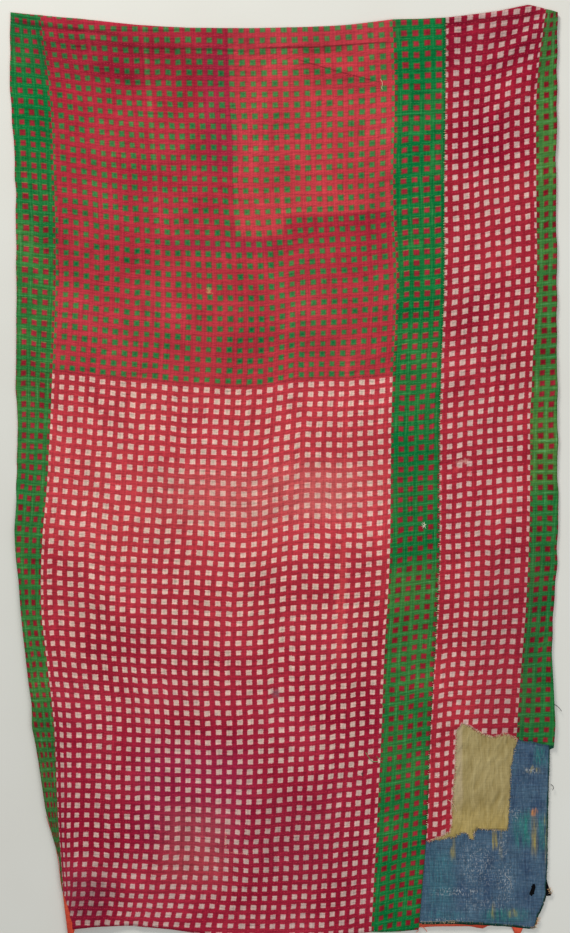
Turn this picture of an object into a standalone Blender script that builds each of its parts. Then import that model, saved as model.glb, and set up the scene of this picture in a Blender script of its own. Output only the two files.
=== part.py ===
"""Kantha quilt laid out face up on a surface.

Five cloths lie on one another: a full-size backing, two inner layers that show at the torn lower
right corner, and a top made of a main cloth and a narrower side cloth, which meet at a long seam.
The cloth is measured in weave squares: column s runs from the left border, row t down from the top
hem. +X is to the quilt's right, +Y to its top hem, +Z up from the surface.
"""

import math

import bmesh
import bpy
import numpy as np

COLLECTION = "kantha_quilt"
MM = 0.001

# Cloth thickness and the space that the stitching leaves between two cloths, in millimetres.
CLOTH = 1.0
SPACE = 0.3
LAYER = CLOTH + SPACE

# The middle of the laid-out quilt, in the tables' millimetres (x to the right, y down).
CENTRE_X = 675.9
CENTRE_Y = 1122.0

# Lines along the cloth, in squares from the left border: strip edges and the threads between them.
LEFT_EDGE = 0.2
BORDER = 4.0
SEAM = 41.6
SIDE_BORDER = 50.6
RIGHT_EDGE = 53.2
COLUMNS = (LEFT_EDGE, BORDER, 13.0, 18.5, 24.0, 28.0, 32.5, 37.0, SEAM, 46.0, SIDE_BORDER, RIGHT_EDGE)

# Where those lines run across the laid-out quilt: x in mm at each row of squares.
#  row  left  s4  s13  s18.5  s24  s28  s32.5  band  seam  s46  side  right
LINE_X = (
    (-1, 25, 96, 320, 458, 598, 700, 815, 933, 1060, 1188, 1303, 1326),
    (6, 25, 116, 331, 465, 604, 706, 822, 939, 1060, 1173, 1281, 1325),
    (16, 38, 130, 347, 477, 611, 710, 823, 935, 1057, 1166, 1275, 1323),
    (25, 39, 133, 352, 487, 623, 721, 833, 943, 1057, 1170, 1277, 1324),
    (34, 38, 125, 343, 480, 618, 716, 825, 934, 1049, 1159, 1267, 1326),
    (43, 42, 115, 333, 470, 607, 707, 820, 930, 1045, 1151, 1262, 1327),
    (52, 24, 101, 319, 458, 600, 701, 816, 927, 1045, 1148, 1258, 1326),
    (61, 21, 111, 318, 452, 593, 695, 806, 915, 1036, 1138, 1244, 1314),
    (70, 40, 133, 328, 459, 596, 694, 803, 907, 1024, 1117, 1230, 1320),
    (79, 50, 144, 326, 459, 588, 684, 789, 896, 1016, 1107, 1219, 1300),
    (92, 64, 159, 310, 436, 571, 667, 772, 880, 992, 1088, 1197, 1269),
)
# Where the rows lie: y in mm below the top, on the same lines.
LINE_Y = (
    (-1, 23, 35, 46, 47, 48, 46, 42, 33, 24, 9, -5, -6),
    (6, 187, 198, 222, 225, 227, 225, 220, 210, 203, 184, 156, 146),
    (16, 440, 449, 475, 477, 480, 476, 471, 462, 451, 432, 411, 405),
    (25, 664, 674, 698, 707, 710, 698, 692, 683, 674, 657, 640, 635),
    (34, 886, 893, 918, 929, 932, 916, 912, 904, 894, 879, 865, 860),
    (43, 1108, 1115, 1139, 1147, 1150, 1133, 1131, 1123, 1113, 1100, 1089, 1086),
    (52, 1332, 1336, 1357, 1361, 1366, 1350, 1347, 1338, 1325, 1317, 1307, 1304),
    (61, 1556, 1556, 1571, 1577, 1577, 1567, 1562, 1551, 1535, 1530, 1525, 1519),
    (70, 1769, 1770, 1783, 1789, 1789, 1783, 1775, 1761, 1743, 1739, 1737, 1735),
    (79, 1982, 1983, 1990, 1995, 2003, 1995, 1988, 1976, 1955, 1950, 1950, 1948),
    (92, 2282, 2282, 2287, 2290, 2290, 2294, 2292, 2279, 2259, 2254, 2253, 2250),
)

# Cut edges as (column, row) pairs.
TOP_HEM = ((0.2, -0.68), (4, -0.91), (8, -0.86), (13, -0.44), (18, -0.18), (28, -0.21), (33, -0.24),
           (37, -0.41), (41.6, -0.25), (46, -0.26), (48.5, -0.48), (50.6, 0.25), (53.2, 0.7))
TOP_FOOT = ((0.2, 88.6), (5, 88.7), (8, 88.45), (13, 88.28), (17, 88.53), (20, 88.92), (24, 89.3),
            (30, 89.15), (37, 89.3), (39.7, 89.8), (41.6, 89.95))
BACKING_FOOT = ((0.2, 88.2), (3.5, 88.2), (4.0, 89.5), (4.9, 89.4), (5.3, 88.5), (8, 88.25),
                (13, 88.1), (17, 88.3), (20, 88.7), (24, 89.1), (30, 88.95), (37, 89.1),
                (41.6, 89.75), (47.2, 89.85), (48.5, 90.1), (49.0, 89.8), (51.15, 89.65),
                (51.6, 90.9), (52.15, 90.9), (52.25, 89.6), (53.2, 89.2))

# Width of the left border that is turned under, in mm, by row.
TURNED_UNDER = ((43, 0), (46.5, 12), (49, 14), (52, 24), (54, 32), (61, 49), (66, 54), (68.3, 49), (70, 54),
                (76.5, 70), (79, 83), (81.5, 97), (84, 99), (92, 113))
TURN_RADIUS = 6.0
RAMP = 60.0

# Main folds as soft ridges: x and y of both ends, width and height, in mm.
#  x0    y0   x1    y1   width height
RIDGES = (
    (110, 88, 560, 112, 24, 6),
    (150, 140, 420, 178, 26, 5),
    (590, 104, 915, 100, 22, 6),
    (700, 150, 912, 196, 24, 6),
    (950, 128, 1050, 112, 22, 5),
    (70, 110, 96, 420, 22, 4),
    (1300, 60, 1190, 150, 24, 7),
    (1296, 110, 1150, 330, 26, 6),
    (706, 520, 716, 890, 26, 4),
    (160, 1560, 196, 1960, 28, 5),
    (1090, 420, 1180, 560, 26, 4),
)
FLAT_BELOW = 0.25

# Torn outlines in mm, clockwise.
BLUE = ((988, 1680), (1300, 1680), (1307, 1776), (1305, 1842), (1302, 1949), (1301, 2054),
        (1297, 2126), (1291, 2152), (1279, 2176), (1272, 2207), (1258, 2206), (1173, 2198),
        (1080, 2192), (1000, 2196), (984, 2194), (984, 2000))
KHAKI = ((1036, 1690), (1226, 1690), (1229, 1764), (1223, 1794), (1215, 1847), (1211, 1916),
         (1206, 1972), (1166, 1973), (1132, 1969), (1116, 1990), (1108, 1978), (1080, 1990),
         (1018, 2000), (1019, 1960), (1026, 1850))
TORN_AWAY = ((1082, 1838), (1084, 1741), (1100, 1718), (1121, 1728), (1150, 1746), (1170, 1752),
             (1202, 1744), (1226, 1754), (1232, 1759), (1321, 1773), (1400, 1785), (1400, 2320),
             (960, 2320), (960, 2010), (1017, 1999), (1045, 1990), (1071, 1978), (1074, 1960),
             (1077, 1883), (1080, 1811))
WORN_EDGE = ((1305, 1780), (1400, 1780), (1400, 2100), (1299, 2100), (1301, 1949))
TORN_CORNER = ((100, 2062), (144, 2062), (149, 2106), (154, 2123), (161, 2142), (168, 2168), (174, 2190),
               (176, 2206), (182, 2320), (100, 2320))

# Grid rows and columns; the left ones follow the turned-under border.
HEM_ROWS = (0.8, 2.0, 3.2, 4.6, 6.0, 7.6, 9.5, 12.0)
CURL_ROWS = (46.5, 48.0, 49.5, 51.0, 52.5)
ROWS = HEM_ROWS + tuple(range(15, 46, 3)) + CURL_ROWS + tuple(range(54, 88, 3)) + (87.8,)
FIRST_EVEN_COLUMN = 10.0
EVEN_STEPS = 13
MAIN_COLUMNS = tuple(np.linspace(FIRST_EVEN_COLUMN, SEAM, EVEN_STEPS + 1))
SIDE_COLUMNS = (2.2, 4.5, 6.8, 9.0)
TAIL_COLUMNS = (51.15, 51.6, 52.15, 52.25)
LEAST_CURL = 12.0
CURL_STEPS = 6
RAMP_STEPS = (0.12, 0.38, 0.7)

# Where the side cloth climbs on to the inner layers, by row, and the main cloth, by column.
CLIMB_ROWS = (60.0, 66.0)
CLIMB_COLUMNS = (36.0, 39.0)

COLOURS = {
    "backing": (0.72, 0.16, 0.08),
    "inner_blue": (0.10, 0.17, 0.30),
    "inner_khaki": (0.38, 0.33, 0.15),
    "top_main": (0.50, 0.03, 0.06),
    "top_side": (0.42, 0.02, 0.05),
}


def smoothstep(low, high, value):
    part = min(1.0, max(0.0, (value - low) / (high - low)))
    return part * part * (3.0 - 2.0 * part)


def read_table(pairs, value):
    """Straight-line reading of a table of (key, number) pairs."""
    keys, numbers = zip(*pairs)
    return float(np.interp(value, keys, numbers))


def read_curve(keys, numbers, value):
    """Smooth reading between unevenly spaced keys (cubic Hermite)."""
    keys = np.asarray(keys, float)
    numbers = np.asarray(numbers, float)
    slopes = np.gradient(numbers, keys)
    cell = int(np.clip(np.searchsorted(keys, value) - 1, 0, len(keys) - 2))
    width = keys[cell + 1] - keys[cell]
    part = (value - keys[cell]) / width
    rise = numbers[cell + 1] - numbers[cell]
    start = slopes[cell] * width - rise
    end = rise - slopes[cell + 1] * width
    blend = (1.0 - part) * start + part * end
    return float(numbers[cell] + part * rise + part * (1.0 - part) * blend)


def row_lines(table, row):
    """Where the lines lie at one row."""
    rows = [entry[0] for entry in table]
    return [read_curve(rows, numbers, row) for numbers in list(zip(*table))[1:]]


class Row:
    """One row of squares: where its lines lie and how far the border is turned under."""

    def __init__(self, row):
        self.row = row
        self.line_x = row_lines(LINE_X, row)
        self.line_y = row_lines(LINE_Y, row)
        self.turned = read_table(TURNED_UNDER, row)

    def place(self, column):
        x = read_curve(COLUMNS, self.line_x, column)
        y = read_curve(COLUMNS, self.line_y, column)
        return x, y

    def column_at(self, x):
        columns = np.linspace(LEFT_EDGE, COLUMNS[2], 60)
        places = [read_curve(COLUMNS, self.line_x, column) for column in columns]
        return float(np.interp(x, places, columns))


def left_columns(row):
    """Columns from the left edge to the first even one, bunched where the border turns."""
    lines = Row(row)
    whole_turn = math.pi * TURN_RADIUS
    turn = min(lines.turned, whole_turn)
    flap = lines.turned - turn
    bent = [lines.turned, turn + flap / 2.0] + [turn * step / 4.0 for step in (4, 3, 2, 1, 0)]
    curled = [turn * (1.0 - step / CURL_STEPS) for step in range(CURL_STEPS + 1)]
    share = smoothstep(0.0, whole_turn, flap)
    inward = [lines.turned - share * b - (1.0 - share) * c for b, c in zip(bent, curled)]
    if lines.turned < LEAST_CURL:
        inward = [LEAST_CURL * step / CURL_STEPS for step in range(CURL_STEPS + 1)]
    inward[0] = 0.0
    zone = lines.place(FIRST_EVEN_COLUMN)[0] - lines.line_x[0]
    inward += [inward[-1] + (zone - inward[-1]) * step for step in RAMP_STEPS]
    return [lines.column_at(lines.line_x[0] + distance) for distance in inward]


def ridge_height(x, y):
    height = 0.0
    for x0, y0, x1, y1, width, top in RIDGES:
        along_x = x1 - x0
        along_y = y1 - y0
        length = math.hypot(along_x, along_y)
        part = ((x - x0) * along_x + (y - y0) * along_y) / length ** 2
        part = min(1.0, max(0.0, part))
        away = math.hypot(x - x0 - part * along_x, y - y0 - part * along_y)
        taper = 0.35 + 0.65 * math.sin(math.pi * part)
        height += top * taper * math.exp(-(away / width) ** 2)
    return max(0.0, height - FLAT_BELOW)


def turn_under(x, y, fold_x, turned):
    """Roll the cloth left of the fold line round and back beneath itself."""
    angle = min(turned / TURN_RADIUS, math.pi)
    outer = TURN_RADIUS + LAYER + CLOTH
    lowest = TURN_RADIUS if angle < math.pi / 2.0 else outer
    centre_z = -lowest * math.cos(angle)
    beyond = fold_x - x
    if beyond <= 0.0:
        reach = max(0.0, turned - math.pi * TURN_RADIUS) + RAMP
        return x, y, (centre_z + TURN_RADIUS) * (1.0 - smoothstep(0.0, reach, -beyond))
    bend = min(beyond / TURN_RADIUS, math.pi)
    rest = max(0.0, beyond - math.pi * TURN_RADIUS)
    bent_x = fold_x - TURN_RADIUS * math.sin(bend) + rest
    return bent_x, y, centre_z + TURN_RADIUS * math.cos(bend)


def on_quilt(column, row, lines):
    """Place of the backing's underside at a column and row, in mm."""
    x, y = lines.place(column)
    fold_x = lines.line_x[0] + lines.turned
    clear = smoothstep(0.0, RAMP, x - fold_x) if lines.turned > 0.0 else 1.0
    height = clear * ridge_height(x, y)
    if lines.turned > 0.0:
        x, y, turned_height = turn_under(x, y, fold_x, lines.turned)
        height += turned_height
    return (x - CENTRE_X) * MM, (CENTRE_Y - y) * MM, height * MM


def collection(name):
    group = bpy.data.collections.new(name)
    bpy.context.scene.collection.children.link(group)
    return group


def material(name):
    paint = bpy.data.materials.new(name)
    paint.use_nodes = True
    shader = paint.node_tree.nodes["Principled BSDF"]
    shader.inputs["Base Color"].default_value = (*COLOURS[name], 1.0)
    shader.inputs["Roughness"].default_value = 0.9
    shader.inputs["Metallic"].default_value = 0.0
    paint.diffuse_color = (*COLOURS[name], 1.0)
    return paint


def add_object(group, name, mesh):
    thing = bpy.data.objects.new(name, mesh)
    group.objects.link(thing)
    if name in COLOURS:
        mesh.materials.append(material(name))
    return thing


def grid_rows(shape, columns, rows):
    """The new grid's vertices as rows from the top hem, each from the left edge."""
    grid = [[None] * columns for _ in range(rows)]
    for vertex in shape.verts:
        across = round((vertex.co.x + 0.5) * (columns - 1))
        down = round((0.5 - vertex.co.y) * (rows - 1))
        grid[down][across] = vertex
    return grid


def add_cloth(group, name, columns_at, hem, foot, lift):
    """A sheet over the grid, lifted off the backing's underside and given its thickness."""
    levels = [read_table(hem, SEAM / 2.0)] + list(ROWS) + [read_table(foot, SEAM / 2.0)]
    shape = bmesh.new()
    bmesh.ops.create_grid(
        shape, x_segments=len(columns_at(0.0)) - 1, y_segments=len(levels) - 1, size=0.5)
    lifts = {}
    for level, vertices in zip(levels, grid_rows(shape, len(columns_at(0.0)), len(levels))):
        edge = {levels[0]: hem, levels[-1]: foot}.get(level)
        for column, vertex in zip(columns_at(level), vertices):
            row = read_table(edge, column) if edge else level
            vertex.co = on_quilt(column, row, Row(row))
            lifts[vertex] = lift(column, row) * MM
    bmesh.ops.triangulate(shape, faces=shape.faces[:], quad_method="FIXED")
    shape.normal_update()
    normals = {vertex: vertex.normal.copy() for vertex in shape.verts}
    for vertex, normal in normals.items():
        vertex.co += normal * lifts[vertex]
    mesh = bpy.data.meshes.new(name)
    shape.to_mesh(mesh)
    shape.free()
    cloth = add_object(group, name, mesh)
    thickness = cloth.modifiers.new("thickness", "SOLIDIFY")
    thickness.thickness = CLOTH * MM
    thickness.offset = 1.0
    return cloth


def add_flat_outline(group, name, outline, low, high):
    """An extruded outline between two heights, in mm."""
    curve = bpy.data.curves.new(name + "_outline", "CURVE")
    curve.dimensions = "2D"
    curve.fill_mode = "BOTH"
    curve.extrude = (high - low) / 2.0 * MM
    spline = curve.splines.new("POLY")
    spline.points.add(len(outline) - 1)
    for point, (x, y) in zip(spline.points, outline):
        point.co = ((x - CENTRE_X) * MM, (CENTRE_Y - y) * MM, 0.0, 1.0)
    spline.use_cyclic_u = True
    drawn = bpy.data.objects.new(name + "_curve", curve)
    group.objects.link(drawn)
    bpy.context.view_layer.update()
    mesh = bpy.data.meshes.new_from_object(drawn.evaluated_get(bpy.context.evaluated_depsgraph_get()))
    bpy.data.objects.remove(drawn)
    shape = bmesh.new()
    shape.from_mesh(mesh)
    bmesh.ops.remove_doubles(shape, verts=shape.verts[:], dist=0.00001)
    bmesh.ops.translate(shape, verts=shape.verts[:], vec=(0.0, 0.0, (low + high) / 2.0 * MM))
    bmesh.ops.recalc_face_normals(shape, faces=shape.faces[:])
    shape.to_mesh(mesh)
    shape.free()
    return add_object(group, name, mesh)


def cut(cloth, cutters, name, outline):
    tool = add_flat_outline(cutters, name, outline, -10.0, 60.0)
    tool.hide_render = True
    tool.display_type = "WIRE"
    tearing = cloth.modifiers.new(name, "BOOLEAN")
    tearing.operation = "DIFFERENCE"
    tearing.solver = "EXACT"
    tearing.object = tool


def main_columns(row):
    return left_columns(row) + list(MAIN_COLUMNS)


def side_columns(row):
    """The side cloth starts one space from the main cloth's edge."""
    lines = Row(row)
    start = SEAM + SPACE / (lines.place(SEAM + 1.0)[0] - lines.place(SEAM)[0])
    return [start] + [SEAM + step for step in SIDE_COLUMNS] + [RIGHT_EDGE]


def all_columns(row):
    """Across both cloths, with the sides of the strip that hangs out at the foot."""
    return main_columns(row) + [SEAM + step for step in SIDE_COLUMNS] + list(TAIL_COLUMNS) + [RIGHT_EDGE]


def main_lift(column, row):
    """One layer up, and one more where the blue layer is tucked under the band."""
    climb = smoothstep(*CLIMB_ROWS, row) * smoothstep(*CLIMB_COLUMNS, column)
    return LAYER * (1.0 + climb)


def side_lift(_column, row):
    """One layer up, and two more over the blue and the khaki."""
    return LAYER * (1.0 + 2.0 * smoothstep(*CLIMB_ROWS, row))


def no_lift(_column, _row):
    return 0.0


def clear_scene():
    for thing in list(bpy.data.objects):
        bpy.data.objects.remove(thing)


def main():
    clear_scene()
    quilt = collection(COLLECTION)
    cutters = collection(COLLECTION + "_cutters")
    backing = add_cloth(quilt, "backing", all_columns, TOP_HEM, BACKING_FOOT, no_lift)
    add_flat_outline(quilt, "inner_blue", BLUE, LAYER, LAYER + CLOTH)
    add_flat_outline(quilt, "inner_khaki", KHAKI, 2.0 * LAYER, 2.0 * LAYER + CLOTH)
    top_main = add_cloth(quilt, "top_main", main_columns, TOP_HEM, TOP_FOOT, main_lift)
    top_side = add_cloth(quilt, "top_side", side_columns, TOP_HEM, TOP_FOOT, side_lift)
    cut(top_main, cutters, "torn_corner", TORN_CORNER)
    cut(top_side, cutters, "torn_end", TORN_AWAY)
    cut(backing, cutters, "worn_edge", WORN_EDGE)


main()
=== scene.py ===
"""Looks of the kantha quilt: six thin cloths on the frame's folds, their checks, stitches and frays.

The cloths use the same measure as the CAD: column s in weave squares from the left border, row t
down from the top hem, about 25 mm a square. Lengths are in millimetres until a mesh is made.
"""

import math

import bmesh
import bpy
import numpy as np
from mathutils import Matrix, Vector

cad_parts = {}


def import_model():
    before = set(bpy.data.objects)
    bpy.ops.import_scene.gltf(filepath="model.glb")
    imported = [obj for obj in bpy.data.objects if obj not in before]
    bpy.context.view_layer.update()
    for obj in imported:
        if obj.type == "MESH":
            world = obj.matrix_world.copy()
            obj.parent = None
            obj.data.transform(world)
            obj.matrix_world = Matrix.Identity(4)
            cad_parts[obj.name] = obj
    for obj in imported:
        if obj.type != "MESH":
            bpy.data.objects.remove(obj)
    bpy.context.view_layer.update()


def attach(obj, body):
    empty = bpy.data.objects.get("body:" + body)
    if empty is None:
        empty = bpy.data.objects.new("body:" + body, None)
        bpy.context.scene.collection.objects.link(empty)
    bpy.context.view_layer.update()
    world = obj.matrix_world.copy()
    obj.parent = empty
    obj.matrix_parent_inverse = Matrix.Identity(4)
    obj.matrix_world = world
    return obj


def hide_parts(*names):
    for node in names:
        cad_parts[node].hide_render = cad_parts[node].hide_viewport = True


MM = 0.001

# The photograph's frame and its scale on the quilt.
PHOTO_WIDTH = 570
PHOTO_HEIGHT = 933
MM_PER_PIXEL = 2.38
CAMERA_HEIGHT = 3.5
SENSOR = 36.0

# Cloth thickness, the space between two cloths, and the middle of the laid-out quilt.
CLOTH = 1.0
SPACE = 0.3
LAYER = CLOTH + SPACE
CENTRE_X = 675.9
CENTRE_Y = 1122.0

# Lines along the cloth, in squares from the left border.
LEFT_EDGE = 0.2
BORDER = 4.0
BAND = 37.0
SEAM = 41.6
SIDE_BORDER = 50.6
RIGHT_EDGE = 53.2
COLUMNS = np.array(
    (LEFT_EDGE, BORDER, 13.0, 18.5, 24.0, 28.0, 32.5, BAND, SEAM, 46.0, SIDE_BORDER, RIGHT_EDGE))
SQUARE = 24.8

# Where those lines run: x and y in mm at each row of squares.
#  row  left  s4  s13  s18.5  s24  s28  s32.5  band  seam  s46  side  right
LINE_X = np.array((
    (-1, 25, 96, 320, 458, 598, 700, 815, 933, 1060, 1188, 1303, 1326),
    (6, 25, 116, 331, 465, 604, 706, 822, 939, 1060, 1173, 1281, 1325),
    (16, 38, 130, 347, 477, 611, 710, 823, 935, 1057, 1166, 1275, 1323),
    (25, 39, 133, 352, 487, 623, 721, 833, 943, 1057, 1170, 1277, 1324),
    (34, 38, 125, 343, 480, 618, 716, 825, 934, 1049, 1159, 1267, 1326),
    (43, 42, 115, 333, 470, 607, 707, 820, 930, 1045, 1151, 1262, 1327),
    (52, 24, 101, 319, 458, 600, 701, 816, 927, 1045, 1148, 1258, 1326),
    (61, 21, 111, 318, 452, 593, 695, 806, 915, 1036, 1138, 1244, 1314),
    (70, 40, 133, 328, 459, 596, 694, 803, 907, 1024, 1117, 1230, 1320),
    (79, 50, 144, 326, 459, 588, 684, 789, 896, 1016, 1107, 1219, 1300),
    (92, 64, 159, 310, 436, 571, 667, 772, 880, 992, 1088, 1197, 1269),
), float)
LINE_Y = np.array((
    (-1, 23, 35, 46, 47, 48, 46, 42, 33, 24, 9, -5, -6),
    (6, 187, 198, 222, 225, 227, 225, 220, 210, 203, 184, 156, 146),
    (16, 440, 449, 475, 477, 480, 476, 471, 462, 451, 432, 411, 405),
    (25, 664, 674, 698, 707, 710, 698, 692, 683, 674, 657, 640, 635),
    (34, 886, 893, 918, 929, 932, 916, 912, 904, 894, 879, 865, 860),
    (43, 1108, 1115, 1139, 1147, 1150, 1133, 1131, 1123, 1113, 1100, 1089, 1086),
    (52, 1332, 1336, 1357, 1361, 1366, 1350, 1347, 1338, 1325, 1317, 1307, 1304),
    (61, 1556, 1556, 1571, 1577, 1577, 1567, 1562, 1551, 1535, 1530, 1525, 1519),
    (70, 1769, 1770, 1783, 1789, 1789, 1783, 1775, 1761, 1743, 1739, 1737, 1735),
    (79, 1982, 1983, 1990, 1995, 2003, 1995, 1988, 1976, 1955, 1950, 1950, 1948),
    (92, 2282, 2282, 2287, 2290, 2290, 2294, 2292, 2279, 2259, 2254, 2253, 2250),
), float)

# Cut edges as (column, row) pairs.
TOP_HEM = ((0.2, -0.68), (4, -0.91), (8, -0.86), (13, -0.44), (18, -0.18), (28, -0.21), (33, -0.24),
           (37, -0.41), (41.6, -0.25), (46, -0.26), (48.5, -0.48), (50.6, 0.25), (53.2, 0.7))
TOP_FOOT = ((0.2, 88.6), (5, 88.7), (8, 88.45), (13, 88.28), (17, 88.53), (20, 88.92), (24, 89.3),
            (30, 89.15), (37, 89.3), (39.7, 89.8), (41.6, 89.95))
BACKING_FOOT = ((0.2, 88.2), (3.5, 88.2), (4.0, 89.5), (4.9, 89.4), (5.3, 88.5), (8, 88.25),
                (13, 88.1), (17, 88.3), (20, 88.7), (24, 89.1), (30, 88.95), (37, 89.1),
                (41.6, 89.75), (47.2, 89.85), (48.5, 90.1), (49.0, 89.8), (51.15, 89.65),
                (51.6, 90.9), (52.15, 90.9), (52.25, 89.6), (53.2, 89.2))

# Squares woven up to the band's seam edge, and across the side cloth from its first line to its
# right edge, by row, and the row where the main cloth's squares turn from green to cream.
BAND_EDGE = ((0, 41.6), (30, 41.65), (50, 41.95), (61, 42.2), (70, 42.25), (92, 42.3))
SIDE_START = ((46, 42.0), (54, 42.12))
SIDE_EDGE = ((16, 53.05), (34, 53.4), (52, 53.95), (61, 54.3), (70, 54.9), (92, 54.9))
SIDE_HALF = 51.0
CREAM_ROW = 33.5

# Near the left edge the cloth slopes away and its squares crowd together: a row, then the cloth
# column where each column of the pattern lies at it.
PATTERN_COLUMNS = (1, 2, 3, 4, 5, 6, 7, 8, 9, 10, 11, 12, 13, 18, 24)
NEAR_LEFT = np.array((
    (46, *PATTERN_COLUMNS),
    (57, 1.7, 2.35, 3.0, 3.8, 4.65, 5.8, 6.9, 7.95, 9.05, 10.05, 11, 12, 13, 18, 24),
    (62, 2.15, 2.75, 3.4, 4.05, 4.85, 5.75, 6.8, 7.8, 8.95, 10.05, 11.1, 12.1, 13, 18, 24),
    (65, 2.25, 2.8, 3.45, 4.1, 4.85, 5.75, 6.75, 7.85, 8.95, 10.1, 11.15, 12.2, 13.1, 18, 24),
    (68, 2.3, 2.85, 3.45, 4.05, 4.75, 5.55, 6.65, 7.75, 8.9, 10.05, 11.1, 12.2, 13.1, 18, 24),
    (71, 2.65, 3.05, 3.45, 3.95, 4.6, 5.3, 6.4, 7.5, 8.65, 9.8, 10.9, 12, 13, 18, 24),
    (74, 2.85, 3.25, 3.55, 3.9, 4.5, 5.2, 6.15, 7.3, 8.5, 9.7, 10.85, 11.95, 13, 18, 24),
    (77, 3.1, 3.4, 3.65, 3.9, 4.4, 5.0, 5.9, 7.05, 8.25, 9.5, 10.75, 11.9, 12.95, 18, 24),
    (79, 3.5, 3.65, 3.8, 3.95, 4.35, 4.9, 5.75, 6.9, 8.2, 9.5, 10.85, 12, 13.1, 18, 24),
    (81, 3.75, 3.85, 3.92, 4.0, 4.35, 4.8, 5.65, 6.8, 8.2, 9.5, 10.85, 11.95, 13, 18, 24),
    (83, 3.8, 3.9, 3.97, 4.05, 4.35, 4.7, 5.5, 6.6, 7.9, 9.3, 10.6, 11.8, 12.9, 18, 24),
    (85, 3.8, 3.9, 3.97, 4.05, 4.3, 4.7, 5.3, 6.4, 7.65, 9.1, 10.45, 11.75, 12.85, 17.9, 24),
    (87, 3.1, 3.3, 3.5, 3.7, 3.95, 4.3, 4.9, 5.85, 7.1, 8.5, 10, 11.4, 12.55, 17.7, 23.9),
    (88, 2.7, 2.9, 3.1, 3.3, 3.55, 3.9, 4.5, 5.55, 6.75, 8.15, 9.65, 11.05, 12.3, 17.5, 23.9),
))

# Where handling has pulled the pattern a little: column, row, half width, half height, and how
# far right and down, in squares.
PULLS = (
    (6.8, 8, 2.5, 8, 0, 0.15),
    (1.5, 9, 2, 6, 0.18, 0.10),
    (1.5, 20, 1.5, 4, 0.18, 0),
    (22, 11, 4.5, 2.5, 0.11, 0),
    (46, 9.5, 4, 4, -0.11, 0.05),
    (43.5, 20, 2.2, 4, 0.14, 0),
    (6, 31.5, 5, 2.5, 0, 0.2),
    (33.5, 32, 3, 2, 0, 0.14),
    (27, 39.5, 9, 3, -0.12, 0),
    (7, 40, 2.5, 3, 0.09, 0.06),
    (49, 39.5, 5, 3, -0.12, 0),
    (28, 37, 1.5, 2.5, 0, -0.1),
    (15.5, 39, 1.5, 3, 0, -0.12),
    (22, 48.5, 5, 3, 0.13, 0.1),
    (45, 50, 3, 2, -0.14, 0),
    (7, 58.5, 3.5, 4, 0, -0.15),
    (15, 66.5, 4, 3, 0.1, 0.07),
    (18, 74.5, 4, 3, 0, -0.11),
    (25, 79.5, 3.5, 1.5, -0.12, 0),
    (14.5, 84.5, 4, 3, -0.1, 0.16),
    (22.5, 82.5, 1.5, 1.5, 0, -0.15),
    (31, 84, 5, 3, 0.06, 0.07),
    (51.5, 59, 2.5, 4, 0.1, 0),
    (52, 8, 1.5, 3, -0.05, 0.11),
)

# How far the rows rise on the band, and slip down on the side cloth along the seam, in squares.
BAND_RISE = ((6, 0), (16, 0.18), (22, 0.18), (30, 0.1), (36, 0.1), (46, 0.12), (58, 0.1), (64, 0))
BAND_COLUMNS = (35.5, 38.0)
SLIP = ((43, 0.0), (61, 0.19), (70, 0.36), (80, 0.36))
SLIP_COLUMNS = (41.6, 46.0)

# The left border turned under, in mm by row, the roll it makes, and how far the cloth beside it
# slopes up, in mm.
TURNED_UNDER = ((43, 0), (46.5, 12), (49, 14), (52, 24), (54, 32), (61, 49), (66, 54), (68.3, 49),
                (70, 54), (76.5, 70), (79, 83), (81.5, 97), (84, 99), (92, 113))
TURN_RADIUS = 6.0
RAMP = 60.0

# The frame's main folds: x and y of both ends, width and height, in mm. At its ends a fold keeps a
# share of its height, and the part of it lower than FLAT_BELOW lies flat.
RIDGES = (
    (110, 88, 560, 112, 24, 6),
    (150, 140, 420, 178, 26, 5),
    (590, 104, 915, 100, 22, 6),
    (700, 150, 912, 196, 24, 6),
    (950, 128, 1050, 112, 22, 5),
    (70, 110, 96, 420, 22, 4),
    (1300, 60, 1190, 150, 24, 7),
    (1296, 110, 1150, 330, 26, 6),
    (706, 520, 716, 890, 26, 4),
    (160, 1560, 196, 1960, 28, 5),
    (1090, 420, 1180, 560, 26, 4),
)
RIDGE_ENDS = 0.35
FLAT_BELOW = 0.25

# Finer creases that only the fabric shows, as the ridges above.
CREASES = (
    (600, 121, 925, 108, 8, 2.4),
    (700, 142, 905, 200, 7, 2.0),
    (85, 66, 330, 74, 9, 2.2),
    (90, 84, 400, 128, 9, 1.8),
    (330, 80, 560, 78, 9, 1.6),
    (950, 76, 1052, 70, 8, 2.0),
    (948, 168, 1050, 152, 8, 1.8),
    (955, 208, 1050, 196, 8, 1.4),
    (1285, 70, 1100, 190, 9, 2.2),
    (1305, 92, 1210, 330, 9, 2.2),
    (1250, 60, 1075, 96, 9, 1.8),
    (60, 150, 74, 430, 7, 1.4),
    (88, 120, 100, 400, 7, 1.4),
    (48, 200, 60, 520, 7, 1.2),
    (930, 1240, 1000, 1330, 9, 1.2),
    (420, 1490, 640, 1500, 10, 1.4),
    (165, 2076, 330, 2112, 26, 4.5),
    (200, 2010, 520, 2060, 16, 1.8),
    (540, 2000, 700, 1920, 14, 1.6),
)

# Creases left by years of folding: across the rows and down the columns, in squares.
FOLD_ROWS = (15.5, 33.5, 51.5, 69.5)
FOLD_COLUMNS = (14.05, 27.3, 40.4)
FOLD_WIDTH = 0.3
FOLD_HEIGHT = 0.8

# Puckers between the stitches: size and height in mm, and the grid of heights that noise reads.
PUCKERS = ((150.0, 2.2), (55.0, 1.6), (26.0, 0.9))
NOISE_ACROSS = 64
NOISE_DOWN = 96

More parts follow.
